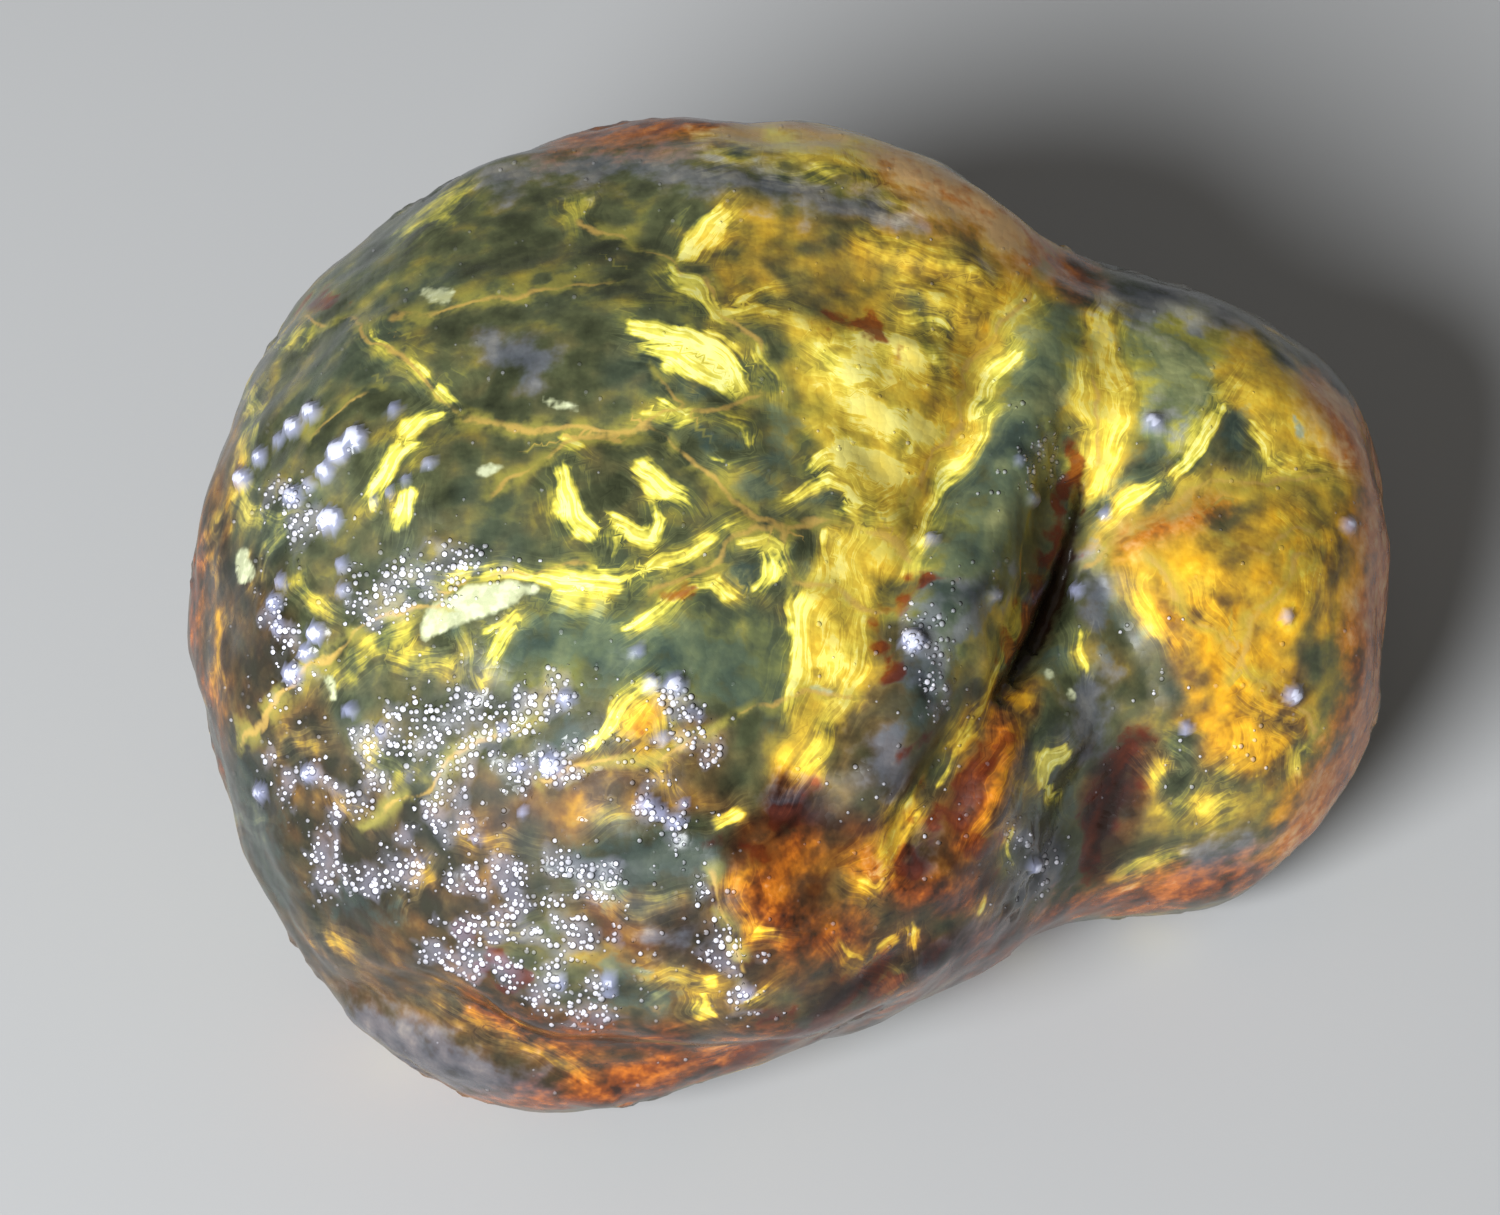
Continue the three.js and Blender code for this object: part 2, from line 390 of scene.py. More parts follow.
SPRINKLE = [
    [(-17, -3.4, 1.6), (-12, -6.4, 2.5), (-7, -8.6, 2)],
    [(-10, -12, 2.5), (-4.6, -13.2, 2)],
    [(-27, 4, 1.5), (-22, 4, 3), (-17, 1.4, 2), (-13, 2, 1)],
    [(-25, -4, 2), (-20, -8, 4), (-14, -11, 5), (-9, -14, 4), (-6, -18, 2)],
    [(-3, -14, 1.2), (-2.4, -18, 1.2)],
    [(-8, -4, 1.6), (-4.6, -6, 1.4)],
    [(11, 8, 1.6), (9, 3, 2), (6, -2, 1.6), (5, -6, 1.4)],
    [(7.8, -4.6, 0.4), (6, -8.4, 0.5)],
    [(14.8, 2, 1.2), (17.4, -1.4, 1.6), (18, -4.4, 1)],
    [(19.2, -6.8, 1.2), (22.6, -7.2, 1.2)],
    [(1, -9, 1), (4, -8.6, 0.8)],
    [(7.4, -8.6, 0.6), (5.6, -12.4, 0.6), (7, -15.6, 0.8)],
]
print("the crust has", len(CRUST), "drawn patches")

# %% Beads: how far along, how far up and the radius of each
BEADS = [
    (-23.1, 9.3, 0.7), (-24, 8.6, 0.7), (-24.7, 8, 0.5), (-25.7, 7.2, 0.6), (-26.6, 6.2, 0.7),
    (-19, 9.3, 0.5), (-20.8, 8, 0.8), (-21.6, 7.3, 0.8), (-22.2, 6.4, 0.7), (-23, 5.8, 0.5),
    (-23.8, 5.2, 0.7), (-17.2, 6.7, 0.5), (-18.3, 6, 0.4), (-19, 5.4, 0.4), (-19.8, 4.9, 0.4),
    (-21.9, 4.1, 0.9), (-21.3, 2, 0.5), (-21.2, 0.8, 0.5), (-24.6, 0.2, 0.6), (-24.3, 1.2, 0.5),
    (-24.4, -0.9, 0.5), (-22.5, -1.2, 0.7), (-23, -2.1, 0.6), (-23.7, -3.1, 0.7), (-20.9, -4.8, 0.5),
    (-7.3, -2, 0.5), (-6.7, -3.5, 0.6), (-5.7, -3.6, 0.8), (-5, -4.8, 0.4), (-4.6, -5, 0.4),
    (-11.3, -7.2, 0.8), (-13.5, -5.6, 0.5), (-22.9, -7.8, 0.6), (-25.5, -8.8, 0.6), (-19.3, -5.7, 0.5),
    (-6.2, -6, 0.5), (-6.9, -9, 0.6), (-6.3, -9.4, 0.5), (-5.6, -9.8, 0.6), (-5.2, -9, 0.4),
    (-10.6, -4.2, 0.6), (-12.8, -7.2, 0.5), (-8.7, -17.2, 0.6), (-8.7, -17.8, 0.5), (-11, -17.4, 0.5),
    (17.3, 8.9, 0.7), (14.9, 4.5, 0.5), (9.3, 0.6, 0.5), (11.3, 5.2, 0.5), (6.3, 3.2, 0.5),
    (5.4, -1.6, 0.8), (13.5, 0.8, 0.5), (23.6, -0.4, 0.5), (24, -4.2, 0.7), (18.7, -5.8, 0.5),
    (11.4, -12.3, 0.6), (27, 4, 0.6), (10.6, 7, 0.4), (-2.4, -17.9, 0.5), (-14.8, -10.6, 0.4),
    (-12.6, -9.4, 0.4),
]
BEAD_SPREAD = 0.75
BEAD_HEIGHT = 0.8


def bead_weights(places):
    """Highest on top of a bead, rounding off to 0 at its edge."""
    height = np.zeros(len(places))
    for across, up, radius in BEADS:
        away = np.linalg.norm(places - [across, up], axis=1) / (BEAD_SPREAD * radius)
        dome = BEAD_HEIGHT * radius * np.sqrt(np.clip(1 - away * away, 0, 1))
        height = np.maximum(height, dome)
    return height


# %% How pebbly the skin is
points, normals = read_points()
front = facing(normals)
places = on_sheet(points)
crust_edge = 2.4 * clouds(points, 1.2, shift=460.0, octaves=2)
crust_drawn = ease(depth_in(places, CRUST) + crust_edge, -1.0, 0.45)
crust_hidden = ease(clouds(points, 5.0, shift=440.0, octaves=3), 0.12, 0.26)
crust = front * crust_drawn + (1 - front) * crust_hidden
sprinkle_edge = 2.0 * clouds(points, 2.6, shift=480.0, octaves=2)
sprinkle = ease(depth_in(places, SPRINKLE) + sprinkle_edge, -1.5, 1.5)
pebbly = np.maximum(1.05 * crust, 0.08 * front * sprinkle) + 0.004
pebbly *= ease(np.abs(normals @ OUT_OF_SHEET), 0.25, 0.5)
print("crust covers", round(float((crust > 0.5).mean()) * 100), "percent of the skin")

# %% Swell the crust and the lumps, and raise the beads
CRUST_CLOUD = 1.1 * MM
CRUST_SWELL = 0.55 * MM
LUMP_CLOUD = 2.2 * MM
LUMP_SWELL = 0.2 * MM
BEAD_RISE = 0.75
crust_texture = bpy.data.textures.new("crust_clouds", "CLOUDS")
crust_texture.noise_scale = CRUST_CLOUD
crust_texture.noise_depth = 1
lump_texture = bpy.data.textures.new("lump_clouds", "CLOUDS")
lump_texture.noise_scale = LUMP_CLOUD
lump_texture.noise_depth = 2
apply_modifier(
    skin, "crust", "DISPLACE", vertex_group=weigh("crust", crust), texture=crust_texture,
    texture_coords="LOCAL", strength=CRUST_SWELL, mid_level=0.5,
)
apply_modifier(
    skin, "lumps", "DISPLACE", texture=lump_texture, texture_coords="LOCAL",
    strength=LUMP_SWELL, mid_level=0.5,
)
points, normals = read_points()
beads = facing(normals) * bead_weights(on_sheet(points))
displace("beads", beads, millimetres=BEAD_RISE)
print("there are", len(BEADS), "beads, up to", round(float(beads.max()) * BEAD_RISE, 2), "mm high")

# %% [markdown]
# ## Washes
# A painter would start with washes: broad soft strokes of how light and how warm the resin is. Each
# wash here is its lightness, its warmth and then the points it runs through, each with a half width.
# Later ones lie on top.

# %% Washes
WASHES = [
    (0.12, 0.40, [(-28, 0, 3), (-24, -10, 4), (-20, -15, 4), (-16, -12, 4)]),
    (0.34, 0.00, [(-22, 15, 4), (-14, 17, 5), (-6, 18, 4)]),
    (0.46, 0.10, [(-14.5, 21.6, 1.6), (-8, 22.2, 1.8), (-2, 21.6, 1.6), (3, 20.6, 1.2)]),
    (1.00, 0.70, [(-3, 24.2, 1.2), (2, 23.6, 1.4), (6, 21.6, 1.6), (9.4, 19.6, 1.8),
                  (12.4, 17.6, 1.4)]),
    (0.30, 0.05, [(-20, 8, 6), (-12, 6, 7), (-6, 8, 4)]),
    (0.44, 0.00, [(-12, -2, 2), (-6, -2, 2.4), (-2, -3, 1)]),
    (0.52, 0.45, [(-2, 17, 3), (2, 16, 3), (4, 14, 1.5)]),
    (0.54, 0.60, [(4, 18, 1), (7, 16.5, 1.6), (9, 15, 1.8)]),
    (0.82, 0.40, [(1, 12, 1.4), (3, 10, 3), (4, 7, 2.6), (3.5, 5, 1.5)]),
    (0.84, 0.50, [(5, 12, 1.5), (6, 9, 1.8), (5, 6, 1.8)]),
    (0.54, 0.15, [(-1, 11, 1), (-0.5, 8, 1)]),
    (0.68, 0.75, [(12.5, 17, 1), (10, 14.5, 0.9), (8.5, 12, 0.9), (7.4, 9.5, 0.7), (6.4, 7, 0.6),
                  (5, 4.6, 0.7)]),
    (0.70, 0.50, [(4, 4, 1.6), (2.8, 1, 1.8), (2.2, -2, 1.7), (1.2, -5, 1.4), (0, -8, 1)]),
    (0.40, 0.60, [(-4, -6.4, 0.8), (-8, -7.4, 0.9), (-12, -7.8, 0.6)]),
    (0.24, 0.60, [(-4, -8.6, 0.8), (-10, -9, 1), (-14, -9.6, 0.8)]),
    (0.18, 0.20, [(-4, -11.6, 1.4), (-8, -12, 1.6), (-11, -12, 1)]),
    (0.04, 1.00, [(0, -10, 1.8), (-1.6, -12.6, 2.4), (0, -15, 3), (4, -15, 2.4), (8, -14, 2)]),
    (0.12, 1.00, [(3, -12, 2.4), (6, -12, 2), (8, -15, 2)]),
    (0.28, 0.80, [(-3.4, -13.6, 0.5), (-1, -12.4, 1.2), (0.2, -11, 1)]),
    (0.28, 0.55, [(-0.6, -16.4, 1.4), (1, -15.2, 1.2)]),
    (0.26, 0.85, [(7, -9.6, 0.8), (6.2, -11.8, 1)]),
    (0.28, 0.30, [(7.4, -14.8, 0.8), (8.8, -14, 0.6)]),
    (0.42, 0.75, [(2.8, -13.6, 0.3), (3.6, -12, 0.6), (5, -10.2, 0.5)]),
    (0.34, 0.95, [(-4.6, -14.2, 0.3), (-2.6, -12.6, 0.5), (-0.6, -11.4, 0.5)]),
    (0.28, 1.00, [(-2.8, -15.8, 0.6), (-1.2, -13.6, 0.5)]),
    (0.26, 0.45, [(3, -14.6, 0.9), (5, -14.6, 0.8)]),
    (0.40, 0.80, [(2.2, -16, 0.3), (4.4, -16.2, 0.3), (5.4, -14.6, 0.25)]),
    (0.14, 0.95, [(-3, -21.6, 0.8), (1, -20.6, 0.8), (5, -19.4, 0.8), (9, -17.6, 0.9),
                  (12, -16, 0.8)]),
    (0.26, 0.95, [(9.8, -4.6, 1), (9, -8, 1.6), (8.2, -11, 1.4), (7, -13, 1)]),
    (0.18, 0.60, [(-20, -17, 2), (-16, -18.6, 2), (-11, -20.6, 1.8), (-6, -20.4, 1.6), (-2, -19.6, 1.4)]),
    (0.26, 0.45, [(-8, -17.6, 1.6), (-4.6, -17.4, 1.6)]),
    (0.62, 0.05, [(6.6, -1, 1.6), (8, 2, 2.4), (10.4, 8, 2), (12, 13, 2)]),
    (0.34, 0.05, [(7, 3.6, 0.5), (8.6, 6.4, 0.5), (10.6, 8.4, 0.5)]),
    (0.30, 0.30, [(5.4, 1.2, 0.4), (8.2, 0.8, 0.4)]),
    (0.24, 0.40, [(3, -8.2, 1.2), (4.2, -5.6, 1.4), (4.8, -2.6, 0.9)]),
    (0.62, 0.45, [(8.2, -2.4, 0.5), (9, -1.2, 0.5), (9.8, -0.6, 0.3)]),
    (0.76, 0.55, [(15.4, 14, 1.2), (15, 10, 1.2), (14.8, 6, 1)]),
    (0.76, 0.00, [(19, 12.5, 2.4), (18, 9, 1.4)]),
    (0.84, 0.75, [(22.5, 12, 1.6), (24.5, 9.5, 2.4), (27, 7.5, 2)]),
    (0.64, 0.50, [(15, 3, 1), (17, 4.4, 0.8), (21, 6, 0.8), (26, 6.4, 0.8)]),
    (0.68, 0.80, [(17, 1, 1.6), (20, 1.8, 2.2), (24, 1.4, 3.4), (26, 1, 2.4)]),
    (0.50, 0.70, [(24, 4.6, 0.6), (26.4, 3, 0.8)]),
    (0.54, 0.95, [(18.6, -0.2, 0.5), (19.8, -1.6, 0.8)]),
    (0.58, 0.98, [(19.4, -1.2, 1.6), (21.4, -4, 2.6), (23, -5.4, 2.2), (22, -7, 1.8)]),
    (0.62, 1.00, [(29, 9, 1.6), (29.2, 4, 1.6), (28.6, -2, 1.6), (27.2, -7, 1.6),
                  (24.4, -11.6, 1.4)]),
    (0.50, 0.20, [(26, -3, 1.6), (25.8, -7, 1.2)]),
    (0.34, 0.20, [(15, -1, 1.2), (15.6, -3.4, 1.6), (17.4, -4.6, 1)]),
    (0.44, 0.30, [(17.4, -8, 1.2), (18.8, -10, 2), (18, -12, 1), (21.4, -10.6, 1.6)]),
    (0.00, 0.90, [(16.2, -6.8, 0.8), (15.5, -9, 1.1), (14.8, -11.6, 1)]),
    (0.30, 0.05, [(12.6, -2.6, 1.2), (13.6, -6, 1.6), (12.4, -9, 1.6), (13, -12, 1.4)]),
    (0.20, 0.70, [(-29, 8, 1.6), (-29.4, 0, 2), (-28.4, -5, 1.6)]),
    (0.40, 0.10, [(-16, 0.6, 1), (-12, 1, 0.9), (-7, 1.6, 0.9), (-3, 4, 0.8)]),
    (0.12, 0.70, [(-9.6, -14.6, 1), (-7, -15.2, 1.3), (-5, -15.2, 0.9)]),
    (0.14, 0.50, [(-28.6, -8, 1.2), (-26.6, -13.6, 1.2), (-23.6, -17.6, 1.2)]),
    (0.24, 0.60, [(-21, -19.8, 1.2), (-16, -22, 1.8), (-12, -23.4, 1.6), (-7, -22.8, 1.2)]),
    (0.66, 1.00, [(-7.7, -5.8, 0.5), (-7, -4.6, 0.6)]),
]
print("there are", len(WASHES), "washes")

# %% [markdown]
# ## Lemon and gold sheets
# Where the resin is full of tiny cracks and bubbles, it looks like a sheet of lemon or gold. These are
# crisp marks on the washes. Each stroke runs through its points, and each point has a half width, so
# that a sheet can taper. They are only colour, so nothing is raised.

# %% Lemon sheets
LEMON = [
    [(-4.9, 17.3, 0.7), (-4.3, 18.2, 0.95), (-3.6, 18.9, 0.65)],
    [(-6, 15.9, 0.3), (-5.2, 15.4, 0.55), (-4.2, 14.6, 0.45), (-3.2, 13.8, 0.15)],
    [(-2.6, 14.5, 0.15), (-1.8, 14.9, 0.35), (-1, 15.2, 0.15)],
    [(-3.2, 14.1, 0.3), (-2, 14.1, 0.25), (-0.2, 13.9, 0.1)],
    [(-7.8, 13.2, 0.4), (-6.6, 13.2, 0.7), (-5.2, 12.9, 0.8), (-4, 12.2, 0.7), (-3, 11.2, 0.6),
     (-2.7, 10.3, 0.3)],
    [(-7, 12.3, 0.4), (-5.8, 12, 0.8), (-4.6, 11.4, 0.7), (-3.6, 10.8, 0.4), (-3, 9.9, 0.2)],
    [(-2, 12, 0.12), (-1.3, 10.9, 0.25), (-1.1, 10.2, 0.15)],
    [(-6.2, 9.4, 0.3), (-5.6, 9, 0.4)],
    [(-7, 8.9, 0.15), (-5.8, 8.4, 0.25), (-4.9, 8.9, 0.15)],
    [(-3.6, 9, 0.12), (-2.6, 8.4, 0.15), (-2.1, 7.6, 0.12)],
    [(-4, 6.9, 0.1), (-3, 6.5, 0.14), (-2.2, 6.8, 0.1)],
    [(-11, 6.1, 0.45), (-10.5, 5, 0.8), (-9.9, 3.9, 0.65), (-9.5, 3.3, 0.3)],
    [(-10.9, 7.6, 0.2), (-10.3, 7.3, 0.3)],
    [(-7.2, 6.4, 0.45), (-6.5, 5.9, 0.8), (-5.7, 5.2, 0.6), (-5.3, 4.8, 0.3)],
    [(-8.4, 4, 0.2), (-7.8, 3.5, 0.35), (-7, 3.2, 0.35), (-6.7, 4, 0.35), (-6.9, 4.8, 0.2)],
    [(-8.7, 3.2, 0.25), (-8.6, 2.3, 0.2)],
    [(-16.9, 9.3, 0.3), (-17.6, 8.5, 0.45), (-18, 8.2, 0.5)],
    [(-18, 7.6, 0.4), (-18.8, 7, 0.65), (-19.4, 6.2, 0.4), (-20.1, 5.2, 0.25), (-19.9, 4.9, 0.1)],
    [(-18.2, 5.3, 0.4), (-18.3, 4.4, 0.5), (-18.5, 3.8, 0.35)],
    [(-16.8, 10.5, 0.3), (-16.3, 9.9, 0.25)],
    [(-20.1, 13.2, 0.15), (-19.7, 12.6, 0.35), (-19.4, 12.2, 0.15)],
    [(-18.4, 11.6, 0.2), (-17.7, 11.2, 0.45), (-17.3, 10.9, 0.15)],
    [(-17.5, 1.6, 0.1), (-14.5, 1.6, 0.3), (-12.5, 1.5, 0.35), (-10.8, 1.2, 0.55), (-8, 1.3, 0.35),
     (-6.6, 1.9, 0.3)],
    [(-7.5, 1.4, 0.3), (-6.4, 2.2, 0.35), (-5.2, 2.5, 0.3), (-4, 3.2, 0.25), (-2.8, 4, 0.15)],
    [(-7.7, -1, 0.15), (-7, -0.5, 0.35), (-6, 0.1, 0.4), (-5, 0.9, 0.35), (-4, 1.2, 0.25),
     (-3.3, 0.5, 0.35)],
    [(-14.2, -1.2, 0.12), (-13.2, -0.6, 0.3), (-13.6, -1.5, 0.35), (-13.9, -2.2, 0.15)],
    [(-9.4, -6.4, 0.35), (-8.6, -5.4, 0.35), (-8, -4.3, 0.35), (-7, -3.4, 0.3)],
    [(-1.8, 0.9, 0.2), (-1.4, 1.6, 0.45), (-1.3, 2.4, 0.35), (-1.5, 2.9, 0.2)],
    [(-2.3, 3, 0.15), (-1.4, 3.3, 0.3), (-0.8, 2.9, 0.35), (-0.5, 2, 0.2)],
    [(1.3, 3.2, 0.15), (1.4, 2.2, 0.35), (1.2, 1.2, 0.5), (0.9, 0.6, 0.4)],
    [(0.5, 0, 0.8), (0.3, -1, 0.9), (0, -2.2, 0.55), (-0.2, -3.4, 0.4), (-0.4, -4.5, 0.15)],
    [(3.3, -0.6, 0.3), (2.9, -1.8, 0.5), (2.6, -3, 0.5), (2.2, -3.8, 0.3)],
    [(-0.6, 5.1, 0.15), (0.4, 5.6, 0.25), (1.4, 6, 0.35), (2.2, 5.6, 0.45), (2.6, 5, 0.4),
     (3.6, 4.7, 0.3), (4.6, 5.3, 0.2), (5, 6.2, 0.15)],
    [(0.6, 6.5, 0.15), (1.3, 7, 0.35), (2, 7.2, 0.15)],
    [(2, 4.6, 0.35), (3.2, 4.3, 0.4), (4.2, 4.2, 0.4), (5, 4.6, 0.2)],
    [(10.6, 12.4, 0.2), (9.9, 11.6, 0.5), (9.2, 10.6, 0.5), (8.6, 9.6, 0.4), (7.9, 8.6, 0.3)],
    [(9.6, 9.6, 0.15), (8.8, 8.4, 0.25), (7.6, 6.8, 0.35), (6.7, 5.4, 0.35), (6, 4.2, 0.35),
     (5.4, 3, 0.3), (4.9, 1.8, 0.15)],
    [(11.4, 15.3, 0.3), (10.4, 14.4, 0.4), (9.7, 13.4, 0.35)],
    [(2.8, 12.9, 0.2), (4.6, 12.5, 0.4), (6.2, 12.3, 0.4), (7.4, 11.9, 0.3)],
    [(3.8, 17.9, 0.1), (5.4, 17.3, 0.25), (7.4, 16.8, 0.25), (9.4, 16.3, 0.1)],
    [(5, 15.8, 0.1), (6.6, 15.3, 0.3), (8.4, 14.7, 0.2)],
    [(4.4, 14.4, 0.1), (6, 14, 0.25), (7.8, 13.4, 0.15)],
    [(4.6, 9.2, 0.4), (5.6, 8.6, 0.5), (6.2, 8, 0.3)],
    [(14, 11.4, 0.3), (14.1, 10.4, 0.45), (14.3, 9.2, 0.4)],
    [(15.7, 10.2, 0.3), (15.8, 9.2, 0.55), (15.4, 8, 0.6), (15, 6.8, 0.5), (14.6, 5.8, 0.3),
     (14.2, 5.2, 0.15)],
    [(20.8, 9.6, 0.2), (20.2, 8.8, 0.4), (19.4, 7.6, 0.55), (18.9, 6.8, 0.5), (18.4, 6.2, 0.2)],
    [(17.4, 5.9, 0.2), (16.6, 5.4, 0.45), (15.6, 4.7, 0.35), (15, 4.1, 0.2)],
    [(22.3, 8.6, 0.3), (22.9, 8, 0.5), (23, 7.2, 0.5), (24, 6.9, 0.4)],
    [(12.7, -6.9, 0.25), (12, -7.4, 0.5), (11.6, -8, 0.45)],
    [(12, -8.4, 0.3), (12.4, -9.2, 0.2)],
    [(13.6, -1.4, 0.2), (13.7, -2.2, 0.3), (13.8, -2.7, 0.2)],
    [(11, 0.6, 0.05), (10.4, -1, 0.15), (9.8, -2.4, 0.2), (9, -4, 0.2), (8, -5.6, 0.2),
     (7.2, -7, 0.2), (6.5, -8.4, 0.1)],
    [(5.1, -9.2, 0.3), (4.6, -10.2, 0.4), (4, -11.2, 0.3)],
    [(3.1, -12.9, 0.15), (3.7, -13.2, 0.25), (4.2, -12.6, 0.2)],
    [(4.2, -11.5, 0.3), (4.8, -10.5, 0.35), (5.4, -9.7, 0.2)],
    [(4, -16, 0.2), (4.5, -15.7, 0.3)],
    [(5.6, -15.3, 0.2), (5.6, -15.9, 0.3)],
    [(-1.9, -15, 0.15), (-1.2, -15.1, 0.25)],
    [(2, -15.6, 0.1), (2.6, -16.2, 0.25), (3.2, -16.4, 0.1)],
    [(8.9, -14.4, 0.2), (9.1, -13.8, 0.1)],
    [(10.1, -10.6, 0.1), (10.2, -11.6, 0.25)],
    [(-2.2, -18.2, 0.1), (-1.6, -17.9, 0.2)],
    [(-4.5, -18.3, 0.35), (-4.2, -18.8, 0.45)],
    [(-4.7, -17.4, 0.15), (-4.1, -17.2, 0.3)],
    [(-3, -9.4, 0.2), (-3.8, -9.7, 0.3)],
    [(-1.2, 24.6, 0.4), (-0.5, 24.7, 0.25)],
    [(-1, 23.4, 0.3), (-0.2, 23.1, 0.4)],
]
print("there are", len(LEMON), "lemon sheets")

